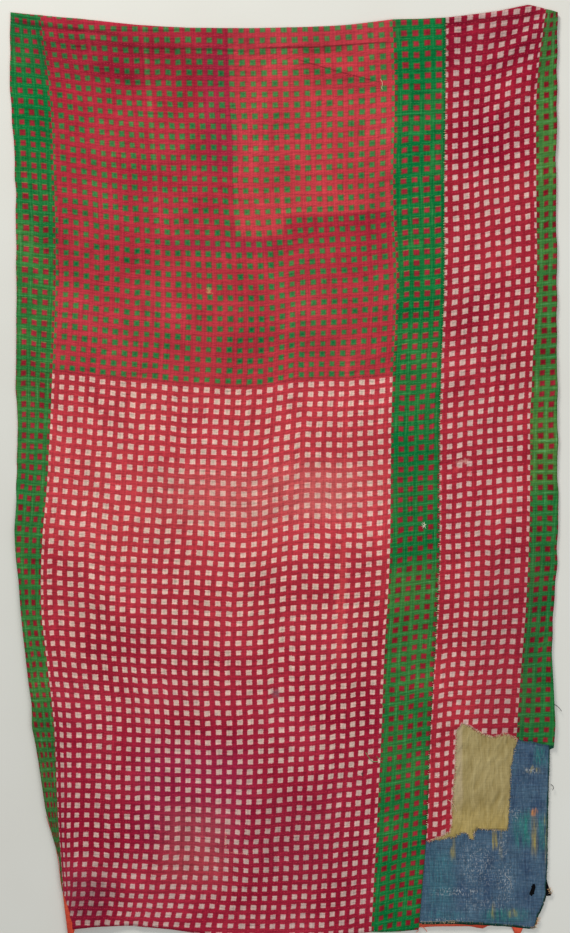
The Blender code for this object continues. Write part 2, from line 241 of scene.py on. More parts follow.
# How far the outer edges waver, in mm, over what length, how far into the cloth, in squares, and
# each edge's seed.
WAVER = 1.8
WAVER_LENGTH = 42.0
WAVER_DEPTH = 0.8
LEFT_SEED = 21
RIGHT_SEED = 22

# Outlines in mm, clockwise: two inner layers, then what is torn or worn off the other cloths.
BLUE = ((988, 1680), (1300, 1680), (1307, 1776), (1305, 1842), (1302, 1949), (1301, 2054),
        (1297, 2126), (1291, 2152), (1279, 2176), (1272, 2207), (1258, 2206), (1173, 2198),
        (1080, 2192), (1000, 2196), (984, 2194), (984, 2000))
KHAKI = ((1036, 1690), (1226, 1690), (1230, 1762), (1221, 1794), (1215, 1826), (1213, 1890),
         (1208, 1974), (1166, 1973), (1135, 1969), (1127, 1979), (1125, 1995), (1119, 1995),
         (1113, 1982), (1102, 1979), (1080, 1990), (1018, 2000), (1019, 1960), (1026, 1850))
TORN_AWAY = ((1082, 1838), (1084, 1741), (1100, 1718), (1121, 1728), (1150, 1746), (1170, 1752),
             (1202, 1744), (1226, 1754), (1232, 1759), (1321, 1773), (1400, 1785), (1400, 2320),
             (960, 2320), (960, 2010), (1017, 1999), (1045, 1990), (1071, 1978), (1074, 1960),
             (1077, 1883), (1080, 1811))
WORN_EDGE = ((1305, 1780), (1400, 1780), (1400, 2100), (1299, 2100), (1301, 1949))
TORN_CORNER = ((100, 2062), (144, 2062), (149, 2106), (154, 2123), (161, 2142), (168, 2168),
               (174, 2190), (176, 2206), (182, 2320), (100, 2320))

# Where the side cloth climbs on to the inner layers, by row, and the main cloth, by column.
CLIMB_ROWS = (60.0, 66.0)
CLIMB_COLUMNS = (36.0, 39.0)

# How far apart the places are that give the cloth's slope, in squares.
NEAR = 0.02


def smoothstep(low, high, value):
    part = np.clip((value - low) / (high - low), 0.0, 1.0)
    return part * part * (3.0 - 2.0 * part)


def read_table(pairs, value):
    """Straight-line reading of a table of (key, number) pairs."""
    keys, numbers = zip(*pairs)
    return np.interp(value, keys, numbers)


def read_curve(keys, numbers, at):
    """Smooth reading, between uneven keys, of each row of numbers at its own place."""
    slopes = np.gradient(numbers, keys, axis=-1)
    cell = np.clip(np.searchsorted(keys, at) - 1, 0, len(keys) - 2)
    width = keys[cell + 1] - keys[cell]
    part = (at - keys[cell]) / width

    def pick(table, offset):
        return np.take_along_axis(table, (cell + offset)[..., None], -1)[..., 0]

    rise = pick(numbers, 1) - pick(numbers, 0)
    start = pick(slopes, 0) * width - rise
    end = rise - pick(slopes, 1) * width
    return pick(numbers, 0) + part * rise + part * (1.0 - part) * ((1.0 - part) * start + part * end)


def read_lines(table, row):
    """Where the lines lie at each of many rows."""
    lines = np.broadcast_to(table[:, 1:].T, (len(row), len(COLUMNS), len(table)))
    return read_curve(table[:, 0], lines, np.broadcast_to(row[:, None], (len(row), len(COLUMNS))))


def value_noise(x, y, size, seed):
    """Smooth seeded noise from 0 to 1 whose bumps are about one size apart."""
    heights = np.random.default_rng(seed).random((NOISE_ACROSS, NOISE_DOWN))
    across = np.mod(x / size, NOISE_ACROSS - 2.0)
    down = np.mod(y / size, NOISE_DOWN - 2.0)
    column = across.astype(int)
    row = down.astype(int)
    right = smoothstep(0.0, 1.0, across - column)
    below = smoothstep(0.0, 1.0, down - row)
    upper = heights[column, row] * (1.0 - right) + heights[column + 1, row] * right
    lower = heights[column, row + 1] * (1.0 - right) + heights[column + 1, row + 1] * right
    return upper * (1.0 - below) + lower * below


def ridge(x, y, entry):
    """One soft fold that tapers to its ends."""
    x0, y0, x1, y1, width, top = entry
    along_x = x1 - x0
    along_y = y1 - y0
    length = math.hypot(along_x, along_y)
    part = np.clip(((x - x0) * along_x + (y - y0) * along_y) / length ** 2, 0.0, 1.0)
    away = np.hypot(x - x0 - part * along_x, y - y0 - part * along_y)
    taper = RIDGE_ENDS + (1.0 - RIDGE_ENDS) * np.sin(math.pi * part)
    return top * taper * np.exp(-(away / width) ** 2)


def relief(x, y):
    """Height of the folds, creases and puckers, in mm."""
    folds = sum(ridge(x, y, entry) for entry in RIDGES)
    creases = sum(ridge(x, y, entry) for entry in CREASES)
    puckers = sum(
        height * value_noise(x, y, size, seed) for seed, (size, height) in enumerate(PUCKERS))
    return np.maximum(0.0, folds - FLAT_BELOW) + creases + puckers


def fold_marks(column, row):
    """The faint ridges of the storage folds, in mm."""
    across = sum(np.exp(-((row - line) / FOLD_WIDTH) ** 2) for line in FOLD_ROWS)
    down = sum(np.exp(-((column - line) / FOLD_WIDTH) ** 2) for line in FOLD_COLUMNS)
    return FOLD_HEIGHT * (across + down)


def waver(inward, y, seed):
    """Sideways waver of the cloth near an outer edge, in mm."""
    swing = 2.0 * value_noise(y, 0.0 * y, WAVER_LENGTH, seed) - 1.0
    return WAVER * swing * np.exp(-np.maximum(inward, 0.0) / WAVER_DEPTH)


def on_quilt(column, row):
    """Place of the backing's underside at many columns and rows, in metres."""
    shape = column.shape
    column = column.ravel()
    row = row.ravel()
    line_x = read_lines(LINE_X, row)
    line_y = read_lines(LINE_Y, row)
    x = read_curve(COLUMNS, line_x, column)
    y = read_curve(COLUMNS, line_y, column)
    x += waver(column - LEFT_EDGE, y, LEFT_SEED) + waver(RIGHT_EDGE - column, y, RIGHT_SEED)
    turned = read_table(TURNED_UNDER, row)
    fold_x = line_x[:, 0] + turned
    clear = np.where(turned > 0.0, smoothstep(0.0, RAMP, x - fold_x), 1.0)
    height = clear * (relief(x, y) + fold_marks(column, row))

    angle = np.minimum(turned / TURN_RADIUS, math.pi)
    outer = TURN_RADIUS + LAYER + CLOTH
    lowest = np.where(angle < math.pi / 2.0, TURN_RADIUS, outer)
    centre_z = -lowest * np.cos(angle)
    beyond = fold_x - x
    half_turn = math.pi * TURN_RADIUS
    reach = np.maximum(0.0, turned - half_turn) + RAMP
    ramp = (centre_z + TURN_RADIUS) * (1.0 - smoothstep(0.0, reach, -beyond))
    bend = np.clip(beyond / TURN_RADIUS, 0.0, math.pi)
    rest = np.maximum(0.0, beyond - half_turn)
    bent_x = fold_x - TURN_RADIUS * np.sin(bend) + rest
    bent_z = centre_z + TURN_RADIUS * np.cos(bend)
    rolled = (turned > 0.0) & (beyond > 0.0)
    x = np.where(rolled, bent_x, x)
    height = height + np.where(turned > 0.0, np.where(rolled, bent_z, ramp), 0.0)
    place = np.stack((x - CENTRE_X, CENTRE_Y - y, height), axis=-1) * MM
    return place.reshape(*shape, 3)


def skin(column, row, lift):
    """Places lifted, in mm, off the quilt's underside along its normal, and never below the floor."""
    across = on_quilt(column + NEAR, row) - on_quilt(column - NEAR, row)
    up = on_quilt(column, row - NEAR) - on_quilt(column, row + NEAR)
    normal = np.cross(across, up)
    normal /= np.linalg.norm(normal, axis=-1, keepdims=True)
    places = on_quilt(column, row) + normal * (lift * MM)[..., None]
    places[..., 2] = np.maximum(places[..., 2], 0.0)
    return places


def main_lift(column, row):
    climb = smoothstep(*CLIMB_ROWS, row) * smoothstep(*CLIMB_COLUMNS, column)
    return LAYER * (1.0 + climb)


def side_lift(_column, row):
    return LAYER * (1.0 + 2.0 * smoothstep(*CLIMB_ROWS, row))


def no_lift(column, _row):
    return np.zeros_like(column)


def near_left(column, row):
    """The pattern's column near the left edge, where its squares crowd."""
    knots = [np.interp(row, NEAR_LEFT[:, 0], places) for places in NEAR_LEFT[:, 1:].T]
    woven = np.where(column < knots[0], 1.0 - (knots[0] - column) / (knots[1] - knots[0]), column)
    for index in range(len(PATTERN_COLUMNS) - 1):
        low, high = knots[index:index + 2]
        start, end = PATTERN_COLUMNS[index:index + 2]
        here = (column >= low) & (column < high)
        woven = np.where(here, start + (end - start) * (column - low) / (high - low), woven)
    return woven


def pulled(column, row):
    """How far the pattern is pulled right and down, in squares."""
    right = np.zeros(column.shape)
    down = np.zeros(column.shape)
    for at_column, at_row, wide, tall, pull_right, pull_down in PULLS:
        bump = np.exp(-((column - at_column) / wide) ** 2 - ((row - at_row) / tall) ** 2)
        right += pull_right * bump
        down += pull_down * bump
    return right, down


def woven(column, row):
    """The pattern's own column and row: the squares keep their size where the cloth is pulled."""
    band_edge = read_table(BAND_EDGE, row)
    side_start = read_table(SIDE_START, row)
    side_edge = read_table(SIDE_EDGE, row)
    band = BAND + (column - BAND) * (band_edge - BAND) / (SEAM - BAND)
    side = side_start + (column - SEAM) * (SIDE_HALF - side_start) / (SIDE_BORDER - SEAM)
    border = SIDE_HALF + (column - SIDE_BORDER) * (side_edge - SIDE_HALF) / (RIGHT_EDGE - SIDE_BORDER)
    on_side = np.where(column > SIDE_BORDER, border, side)
    on_main = np.where(column > BAND, band, near_left(column, row))
    slip = read_table(SLIP, row) * (1.0 - smoothstep(*SLIP_COLUMNS, column))
    rise = read_table(BAND_RISE, row) * smoothstep(*BAND_COLUMNS, column)
    right, down = pulled(column, row)
    beyond_seam = column > SEAM
    return (np.where(beyond_seam, on_side, on_main) - right,
            row - np.where(beyond_seam, slip, -rise) - down)


def frayed(outline, step, depth, seed):
    """An outline cut into short steps, each moved a little, as torn cloth is."""
    rng = np.random.default_rng(seed)
    points = []
    corners = np.array(outline, float)
    for start, end in zip(corners, np.roll(corners, -1, axis=0)):
        count = max(1, int(np.hypot(*(end - start)) / step))
        for part in np.arange(count) / count:
            points.append(start + (end - start) * part + rng.uniform(-depth, depth, 2))
    return np.array(points)


def inside_outline(x, y, outline):
    inside = np.zeros(x.shape, bool)
    for (x0, y0), (x1, y1) in zip(outline, np.roll(outline, -1, axis=0)):
        if y0 == y1:
            continue
        crosses = (y0 > y) != (y1 > y)
        inside ^= crosses & (x < x0 + (x1 - x0) * (y - y0) / (y1 - y0))
    return inside


def to_outline(x, y, outline):
    """From each point, the step to the nearest point of an outline."""
    best = np.full(x.shape, np.inf)
    step_x = np.zeros(x.shape)
    step_y = np.zeros(x.shape)
    for (x0, y0), (x1, y1) in zip(outline, np.roll(outline, -1, axis=0)):
        along_x = x1 - x0
        along_y = y1 - y0
        length = max(along_x ** 2 + along_y ** 2, 1e-9)
        part = np.clip(((x - x0) * along_x + (y - y0) * along_y) / length, 0.0, 1.0)
        away_x = x0 + part * along_x - x
        away_y = y0 + part * along_y - y
        away = np.hypot(away_x, away_y)
        nearer = away < best
        best = np.where(nearer, away, best)
        step_x = np.where(nearer, away_x, step_x)
        step_y = np.where(nearer, away_y, step_y)
    return best, step_x, step_y


def trim(x, y, outline, keep_inside, reach):
    """Which points stay on the kept side, and the steps that draw those near the cut on to it."""
    away, step_x, step_y = to_outline(x, y, outline)
    kept = inside_outline(x, y, outline) == keep_inside
    near = away < reach
    edge = np.where(kept, away, 0.0)
    return kept | near, np.where(near, step_x, 0.0), np.where(near, step_y, 0.0), edge


# ----------------------------------------
# Meshes
# ----------------------------------------


def add_attribute(mesh, name, values):
    """A vector at each vertex for the material to read."""
    attribute = mesh.attributes.new(name, "FLOAT_VECTOR", "POINT")
    attribute.data.foreach_set("vector", np.asarray(values, np.float32).ravel())


def link_mesh(name, mesh):
    mesh.polygons.foreach_set("use_smooth", [True] * len(mesh.polygons))
    mesh.update()
    piece = bpy.data.objects.new(name, mesh)
    bpy.context.scene.collection.objects.link(piece)
    return piece


def remove_loose(mesh):
    """Removes the vertices that no face uses."""
    shape = bmesh.new()
    shape.from_mesh(mesh)
    loose = [vertex for vertex in shape.verts if not vertex.link_faces]
    bmesh.ops.delete(shape, geom=loose, context="VERTS")
    shape.to_mesh(mesh)
    shape.free()


def lattice_mesh(name, places, kept, weave, edge, thickness):
    """A thin cloth over a lattice of places; a cell that lost a corner keeps half at most."""
    down, across = kept.shape
    number = np.arange(down * across).reshape(down, across)
    corners = np.stack(
        (number[:-1, :-1], number[1:, :-1], number[1:, 1:], number[:-1, 1:]), axis=-1).reshape(-1, 4)
    halves = np.concatenate((corners[:, (0, 1, 2)], corners[:, (0, 2, 3)]))
    whole = kept.ravel()[corners].all(axis=1)
    cut_halves = kept.ravel()[halves].all(axis=1) & ~np.concatenate((whole, whole))
    faces = corners[whole].tolist() + halves[cut_halves].tolist()
    mesh = bpy.data.meshes.new(name)
    mesh.from_pydata(places.reshape(-1, 3).tolist(), [], faces)
    add_attribute(mesh, "weave", weave.reshape(-1, 3))
    add_attribute(mesh, "edge", np.repeat(edge.reshape(-1, 1), 3, axis=1))
    piece = link_mesh(name, mesh)
    remove_loose(mesh)
    solid = piece.modifiers.new("thickness", "SOLIDIFY")
    solid.thickness = thickness * MM
    solid.offset = 1.0
    return piece


def row_lattice(columns, foot, count):
    """Columns and rows of a fine lattice between the top hem and a cut edge below."""
    share = np.linspace(0.0, 1.0, count)[:, None]
    row = read_table(TOP_HEM, columns) * (1.0 - share) + read_table(foot, columns) * share
    return np.broadcast_to(columns, row.shape).copy(), row


def flat_place(column, row):
    """Where a column and row lie before any border is turned under, in mm."""
    x = read_curve(COLUMNS, read_lines(LINE_X, row.ravel()), column.ravel())
    y = read_curve(COLUMNS, read_lines(LINE_Y, row.ravel()), column.ravel())
    return x.reshape(row.shape), y.reshape(row.shape)


def cloth_on_quilt(name, columns, foot, count, lift, thickness, torn):
    """A full-length cloth; torn is the outline that is missing from it."""
    column, row = row_lattice(columns, foot, count)
    kept, step_x, step_y, edge = trim(*flat_place(column, row), torn, False, SNAP)
    column = column + step_x / SQUARE
    row = row + step_y / SQUARE
    places = skin(column, row, lift(column, row))
    weave = np.stack((*woven(column, row), np.zeros_like(row)), axis=-1)
    return lattice_mesh(name, places, kept, weave, edge, thickness)


def on_flat(x, y, lift):
    """Place over the unturned part of the quilt, from mm across and down."""
    return np.stack((x - CENTRE_X, CENTRE_Y - y, relief(x, y) + lift), axis=-1) * MM


def cloth_patch(name, outline, step, lift, thickness, hole=None):
    """An inner layer that shows where the top is torn."""
    low_x, low_y = outline.min(axis=0)
    high_x, high_y = outline.max(axis=0)
    x, y = np.meshgrid(np.arange(low_x - step, high_x + step, step),
                       np.arange(low_y - step, high_y + step, step))
    kept, step_x, step_y, edge = trim(x, y, outline, True, step * OUTLINE_REACH)
    x = x + step_x
    y = y + step_y
    if hole is not None:
        around, step_x, step_y, _edge = trim(x, y, hole, False, step * HOLE_REACH)
        kept &= around
        x = x + step_x
        y = y + step_y
    weave = np.stack((x, y, np.zeros_like(x)), axis=-1) / SQUARE
    return lattice_mesh(name, on_flat(x, y, lift), kept, weave, edge, thickness)


def unit(vectors):
    return vectors / np.maximum(np.linalg.norm(vectors, axis=-1, keepdims=True), 1e-12)


def stitch_mesh(name, starts, ends, normals, width, height, tints):
    """Many short stitches, each a low grain with two pointed ends, on a surface."""
    along = ends - starts
    side = unit(np.cross(along, normals)) * (width / 2.0 * MM)
    up = normals * (height * MM)
    points = [starts]
    for share in STITCH_SHOULDERS:
        middle = starts + along * share
        points += [middle - side, middle + up, middle + side]
    points.append(ends)
    count = len(points)
    first = np.arange(len(starts))[:, None] * count
    quads = np.concatenate([first + np.array(face) for face in ((1, 2, 5, 4), (2, 3, 6, 5))])
    corners = np.concatenate(
        [first + np.array(face) for face in ((0, 2, 1), (0, 3, 2), (4, 5, 7), (5, 6, 7))])
    mesh = bpy.data.meshes.new(name)
    places = np.stack(points, axis=1).reshape(-1, 3)
    mesh.from_pydata(places.tolist(), [], quads.tolist() + corners.tolist())
    add_attribute(mesh, "tint", np.repeat(tints, count, axis=0))
    return link_mesh(name, mesh)


def thread_mesh(name, lines, width, tints):
    """Loose threads: a thin square tube along each line of places."""
    count, stations, _three = lines.shape
    along = unit(np.gradient(lines, axis=1))
    side = unit(np.cross(along, UPRIGHT + along[..., ::-1] * 0.01))
    up = np.cross(side, along)
    side = side * (width / 2.0 * MM)
    up = up * (width / 2.0 * MM)
    ring = np.stack((lines + side, lines + up, lines - side, lines - up), axis=2)
    first = (np.arange(count)[:, None, None] * stations + np.arange(stations - 1)[None, :, None]) * 4
    here = np.arange(4)[None, None, :]
    after = (here + 1) % 4
    faces = np.stack((first + here, first + after, first + 4 + after, first + 4 + here), axis=-1)
    mesh = bpy.data.meshes.new(name)
    mesh.from_pydata(ring.reshape(-1, 3).tolist(), [], faces.reshape(-1, 4).tolist())
    add_attribute(mesh, "tint", np.repeat(tints, stations * 4, axis=0))
    return link_mesh(name, mesh)


# ----------------------------------------
# Materials
# ----------------------------------------


def srgb(red, green, blue):
    """A colour as a screen shows it, from 0 to 255, in the renderer's own values."""
    values = [part / 255.0 for part in (red, green, blue)]
    linear = [v / 12.92 if v <= 0.04045 else ((v + 0.055) / 1.055) ** 2.4 for v in values]
    return (*linear, 1.0)


def operator(operation, swapped=False):
    """A method that does one step of arithmetic with a Math node."""

    def act(field, *others):
        values = (*others, field) if swapped else (field, *others)
        return field.paint.math(operation, *values)

    return act


class Field:
    """A value that varies over the cloth: a shader socket that takes ordinary arithmetic."""

    def __init__(self, paint, socket):
        self.paint = paint
        self.socket = socket

    __add__ = operator("ADD")
    __radd__ = operator("ADD", swapped=True)
    __sub__ = operator("SUBTRACT")
    __rsub__ = operator("SUBTRACT", swapped=True)
    __mul__ = operator("MULTIPLY")
    __rmul__ = operator("MULTIPLY", swapped=True)
    __abs__ = operator("ABSOLUTE")
    round = operator("ROUND")
    at_least = operator("MAXIMUM")


# How shiny the cloths are, and how blurred a sharp line in the weave is, in squares.
SPECULAR = 0.08
LINE_SOFT = 0.04


class Paint:
    """A material and the nodes that its pattern is made of."""

    def __init__(self, name, roughness=0.92, sheen=0.02):
        self.material = bpy.data.materials.new(name)
        self.material.use_nodes = True
        self.tree = self.material.node_tree
        self.shader = self.tree.nodes["Principled BSDF"]
        self.feed(self.shader.inputs["Roughness"], roughness)
        self.feed(self.shader.inputs["Sheen Weight"], sheen)
        self.feed(self.shader.inputs["Specular IOR Level"], SPECULAR)

    def feed(self, socket, value):
        if isinstance(value, Field):
            self.tree.links.new(value.socket, socket)
        else:
            socket.default_value = value

    def result(self, kind, output, inputs, **settings):
        """An output of a new node that has these inputs and settings."""
        node = self.tree.nodes.new("ShaderNode" + kind)
        for name, setting in settings.items():
            setattr(node, name, setting)
        for socket, value in inputs.items():
            self.feed(node.inputs[socket], value)
        return Field(self, node.outputs[output])

    def math(self, operation, *values):
        return self.result("Math", 0, dict(enumerate(values)), operation=operation)

    def split(self, vector):
        """The three parts of a vector."""
        first = self.result("SeparateXYZ", 0, {0: vector})
        return [Field(self, output) for output in first.socket.node.outputs]

    def attribute(self, name):
        """The three parts of a vector kept at the vertices."""
        return self.split(self.result("Attribute", "Vector", {}, attribute_name=name))

    def tint(self):
        """The thread's own colour, kept at the vertices."""
        return self.result("Attribute", "Color", {}, attribute_name="tint")

    def position(self):
        """The piece's own x, y and z in metres."""
        return self.split(self.result("TexCoord", "Object", {}))

    def facing_up(self):
        return self.step(self.split(self.result("NewGeometry", "True Normal", {}))[2], -0.1, 0.1)

    def noise(self, x, y, z=0.0, detail=1.0):
        """Smooth noise from about -0.5 to 0.5 with bumps about one unit apart."""
        place = self.result("CombineXYZ", 0, {0: x, 1: y, 2: z})
        return self.result("TexNoise", 0, {"Vector": place, "Scale": 1.0, "Detail": detail}) - 0.5

    def scatter(self, x, y):
        """A random number for each whole x and y."""
        place = self.result("CombineXYZ", 0, {0: x, 1: y, 2: 0.0})
        return self.result("TexWhiteNoise", "Value", {"Vector": place})

    def threads(self, column, row, fine, long):
        """Uneven threads down and across: fine from one to the next, long along each."""
        warp = self.noise(column * fine, row * long, 4.0, 2.0)
        weft = self.noise(column * long, row * fine, 5.0, 2.0)
        return warp, weft

    def step(self, value, low, high):
        """A soft step from 0 at low to 1 at high."""
        inputs = {"Value": value, "From Min": low, "From Max": high}
        return self.result("MapRange", "Result", inputs, interpolation_type="SMOOTHSTEP")

    def past(self, value, place):
        """One past a sharp line in the weave."""
        return self.step(value, place - LINE_SOFT, place + LINE_SOFT)

    def between(self, value, low, high, soft):
        past_high = self.step(value, high - soft, high + soft)
        return self.step(value, low - soft, low + soft) * (1.0 - past_high)

    def line(self, value, middle, width):
        """One at the middle of a narrow line, nothing beyond its width."""
        return 1.0 - self.step(abs(value - middle), width * 0.3, width)

    def spot(self, x, y, middle_x, middle_y, wide, tall):
        """One at the middle of a soft square, nothing beyond its half width and half height."""
        return self.line(x, middle_x, wide) * self.line(y, middle_y, tall)

    def ramp(self, value, pairs):
        """Straight-line reading of (key, number) pairs, with numbers from 0 to 1."""
        low = pairs[0][0]
        high = pairs[-1][0]
        node = self.tree.nodes.new("ShaderNodeValToRGB")
        stops = node.color_ramp.elements
        while len(stops) < len(pairs):
            stops.new(0.5)
        for index, (key, _number) in enumerate(pairs):
            stops[index].position = (key - low) / (high - low)
        for index, (_key, number) in enumerate(pairs):
            stops[index].color = (number, number, number, 1.0)
        self.feed(node.inputs[0], (value - low) * (1.0 / (high - low)))
        return Field(self, node.outputs[0])

    def mix(self, low, high, share):
        return self.result("Mix", 2, {0: share, 6: low, 7: high}, data_type="RGBA")

    def dim(self, colour, factor):
        """A colour made darker or lighter by a factor."""
        return self.result("VectorMath", 0, {0: colour, "Scale": factor}, operation="SCALE")

    def finish(self, colour, height):
        """Sets the colour and the fine relief, whose height is in mm."""
        bump = self.result("Bump", 0, {"Strength": 1.0, "Distance": MM, "Height": height})
        self.feed(self.shader.inputs["Base Color"], colour)
        self.feed(self.shader.inputs["Normal"], bump)
        return self.material


# A woven square's half width, and how blurred the edges of cream and of dyed squares are, as shares
# of the pitch.
HALF_SQUARE = 0.25
CREAM_SOFT = 0.05
DYED_SOFT = 0.09


class Weave:
    """What both top cloths share: the woven squares, the threads and the puckers."""

    def __init__(self, paint):
        self.paint = paint
        self.column, self.row, _unused = paint.attribute("weave")
        column, row = self.column, self.row
        near_column = column.round()
        near_row = row.round()
        slide = paint.noise(column * 0.11, near_row * 7.3, 3.0)
        drift = paint.noise(near_column * 7.3, row * 0.11)
        shear = paint.noise(near_column * 5.7, row * 0.07, 9.0)
        self.chance = paint.scatter(near_column, near_row) - 0.5
        self.across = column - near_column - slide * 0.22
        self.down = row - near_row - drift * 0.30 - self.across * shear * 0.9
        ragged = paint.noise(column * 7.0, row * 7.0, 2.0)
        corner = paint.math("SMOOTH_MAX", abs(self.across), abs(self.down), 0.06)
        self.edge = corner + ragged * 0.14 + self.chance * 0.05 - HALF_SQUARE
        self.inside = self.within(CREAM_SOFT)
        self.rim = paint.step(self.edge, -0.24, -0.04)
        self.warp, self.weft = paint.threads(column, row, 6.0, 0.35)
        self.cloud = paint.noise(column * 0.16, row * 0.16, 6.0, 3.0)
        self.blotch = paint.noise(column * 0.7, row * 0.7, 7.0, 2.0)

    def within(self, soft):
        """One inside the squares; soft is how blurred their edges are."""
        return 1.0 - self.paint.step(self.edge, -soft, soft)

    def shading(self):
        """Brightness of the uneven threads both ways, about 1."""
        return 1.0 + self.warp * 0.80 + self.weft * 0.55 + self.cloud * 0.45 + self.blotch * 0.30

    def height(self):
        """Puckers between rows of stitches, squares that stand a little, and the threads, in mm."""
        paint = self.paint
        gather = abs(paint.math("SINE", self.row * math.pi + self.cloud * 2.0))
        waves = paint.noise(self.column * 1.3, self.row * 2.4, 8.0, 2.0)
        slub = self.warp + self.weft
        return gather * 0.35 + waves * 3.0 + slub * 0.8 + self.inside * 0.10


def set_in(weave, ground, squares):
    """Squares on a ground, darker along their edges, where the two dyed threads cross."""
    share = weave.within(DYED_SOFT)
    crossing = share * (1.0 - share)
    return weave.paint.dim(weave.paint.mix(ground, squares, share), 1.0 - crossing * 1.2)


def main_red(weave, lower):
    """The red ground of the main cloth, faded in patches down its length."""
    paint, column, row = weave.paint, weave.column, weave.row
    faded = paint.ramp(row, FADED_RED)
    patch_foot = row + paint.step(column, 26.4, 26.7) * 1.8
    right_top = paint.step(column, 21.75, 21.85) * (1.0 - paint.step(patch_foot, 19.1, 19.5))
    dark_block = paint.step(column, 26.5, 26.8) * paint.between(row, 17.6, 24.0, 1.2)
    dark_band = paint.between(row, 19.6, 20.8, 0.5) * paint.between(column, 14.0, 26.0, 2.0)
    broken = paint.step(paint.noise(row * 0.8, 2.0), -0.25, 0.1)
    wobble = paint.noise(row * 0.4, 0.0)
    faded_line = paint.line(column - row * 0.025 + wobble * 0.3, 13.85, 0.30) * (1.0 - lower)
    faded_line = faded_line * broken * (1.0 - paint.step(row, 8.0, 20.0) * 0.7)
    worn_line = paint.line(column + paint.noise(row * 0.3, 4.0) * 0.7, 32.5, 0.6)
    worn_line = worn_line * paint.between(row, 32.0, 60.0, 4.0)
    fade = faded + right_top * 0.50 - dark_block * 0.22 - dark_band * 0.18 + weave.cloud * 1.1
    red = paint.mix(DEEP_RED, FADED, fade + faded_line * 0.45 + worn_line * 0.80)
    plum = paint.between(column, 13.0, 24.0, 2.2) * paint.between(row, 69.0, 80.0, 2.5)
    shade = paint.between(column, 19.2, 22.1, 0.5) * paint.between(row, 1.5, 13.0, 1.5)
    violet = paint.step(row, 50.0, 75.0) * 0.10 + plum * 0.30 + shade * 0.25 + dark_band * 0.2
    return paint.mix(red, VIOLET, violet + weave.cloud * 0.35), right_top, faded_line


def strip_of_green(weave, olive, brick_share):
    """A green strip with red squares; olive says how yellow it has gone."""
    paint = weave.paint
    green = paint.mix(DEEP_GREEN, OLIVE, olive + weave.cloud * 0.8 + weave.warp * 0.35)
    brick = paint.mix(DARK_BRICK, PALE_BRICK, brick_share + weave.cloud * 0.9 + weave.chance * 0.3)
    gap = paint.step(abs(weave.across), 0.40, 0.46) * paint.step(weave.warp, 0.0, 0.16)
    row_gap = paint.step(abs(weave.down), 0.41, 0.47) * paint.step(weave.weft, 0.02, 0.16)
    green = paint.mix(green, PALE_GREEN, gap.at_least(row_gap) * (0.10 + olive * 0.4))
    green = paint.dim(green, 1.0 + weave.weft * 0.7)
    return set_in(weave, green, brick)


def cream_square(weave, greying):
    """Cream squares with a paler rim and a darker middle, greyed by a share."""
    paint = weave.paint
    cream = paint.mix(CREAM_MIDDLE, CREAM_RIM, 0.15 + weave.rim * 0.85 + weave.chance * 0.22)
    return paint.mix(cream, CREAM_GREY, greying + weave.cloud * 0.6)


def stains_and_painted_light(weave, colour, marks):
    """A cloth's colour with its few stains, and its patches of painted shade and painted highlight."""
    paint = weave.paint
    # Each patch is a real stain, painted shade or a painted highlight, according to its colour.
    for column, row, wide, tall, mark_colour, strength in marks:
        ragged = paint.noise(weave.column * 4.0, weave.row * 4.0, 11.0) * 0.6
        spot = paint.spot(weave.column + ragged, weave.row + ragged, column, row, wide, tall)
        colour = paint.mix(colour, mark_colour, spot * strength)
    return colour


def crease_shadowed(weave, colour, creases):
    """A cloth's colour with painted shadow lines in its sharpest creases."""
    paint = weave.paint
    for start_column, start_row, end_column, end_row, half_width, strength in creases:
        slope = (end_row - start_row) / (end_column - start_column)
        away = weave.row - weave.column * slope - (start_row - start_column * slope)
        line = paint.line(away + weave.cloud * 0.25, 0.0, half_width)
        line = line * paint.between(weave.column, start_column, end_column, 0.8)
        colour = paint.dim(colour, 1.0 - line * strength)
    return colour


def top_cloth(name):
    """The main cloth: a red field with green, then cream squares, between two green strips."""
    paint = Paint(name)
    weave = Weave(paint)
    column, row = weave.column, weave.row
    wave = paint.noise(row * 1.7, 0.0, 1.0) * 0.14
    on_green = (1.0 - paint.past(column + wave, BORDER)).at_least(paint.past(column + wave, BAND))
    lower = paint.past(row + wave, CREAM_ROW)
    red, right_top, faded_line = main_red(weave, lower)
    paleness = weave.chance * 0.20 + weave.rim * 0.22 + 0.19 + right_top * 0.16 + faded_line * 0.3
    leaf = paint.mix(DEEP_LEAF, PALE_LEAF, paleness + weave.cloud * 0.9)
    # The cream squares grow greyer towards the foot.
    cream = cream_square(weave, paint.step(row, 50.0, 86.0) * 0.6)
    leaf_field = set_in(weave, red, leaf)
    field = paint.mix(leaf_field, paint.mix(red, cream, weave.inside), lower)
    olive = paint.ramp(row, BAND_OLIVE)
    left_olive = paint.ramp(row, LEFT_OLIVE)
    olive = olive + (left_olive - olive) * (1.0 - paint.step(column, 18.0, 20.0))
    strip = strip_of_green(weave, olive, 0.42 - paint.step(row, 30.0, 60.0) * 0.20)
    gold_line = paint.line(weave.down, -0.26, 0.06) * paint.between(row, 14.0, 34.0, 3.0) * on_green
    strip = paint.mix(strip, GOLD_THREAD, gold_line * paint.step(abs(weave.across), 0.28, 0.22) * 0.25)
    colour = stains_and_painted_light(weave, paint.mix(field, strip, on_green), MAIN_STAINS_AND_PAINTED_LIGHT)
    # Painted shadow in the sharp creases.
    colour = crease_shadowed(weave, colour, MAIN_CREASE_SHADOWS)
    return paint.finish(paint.dim(colour, weave.shading()), weave.height())


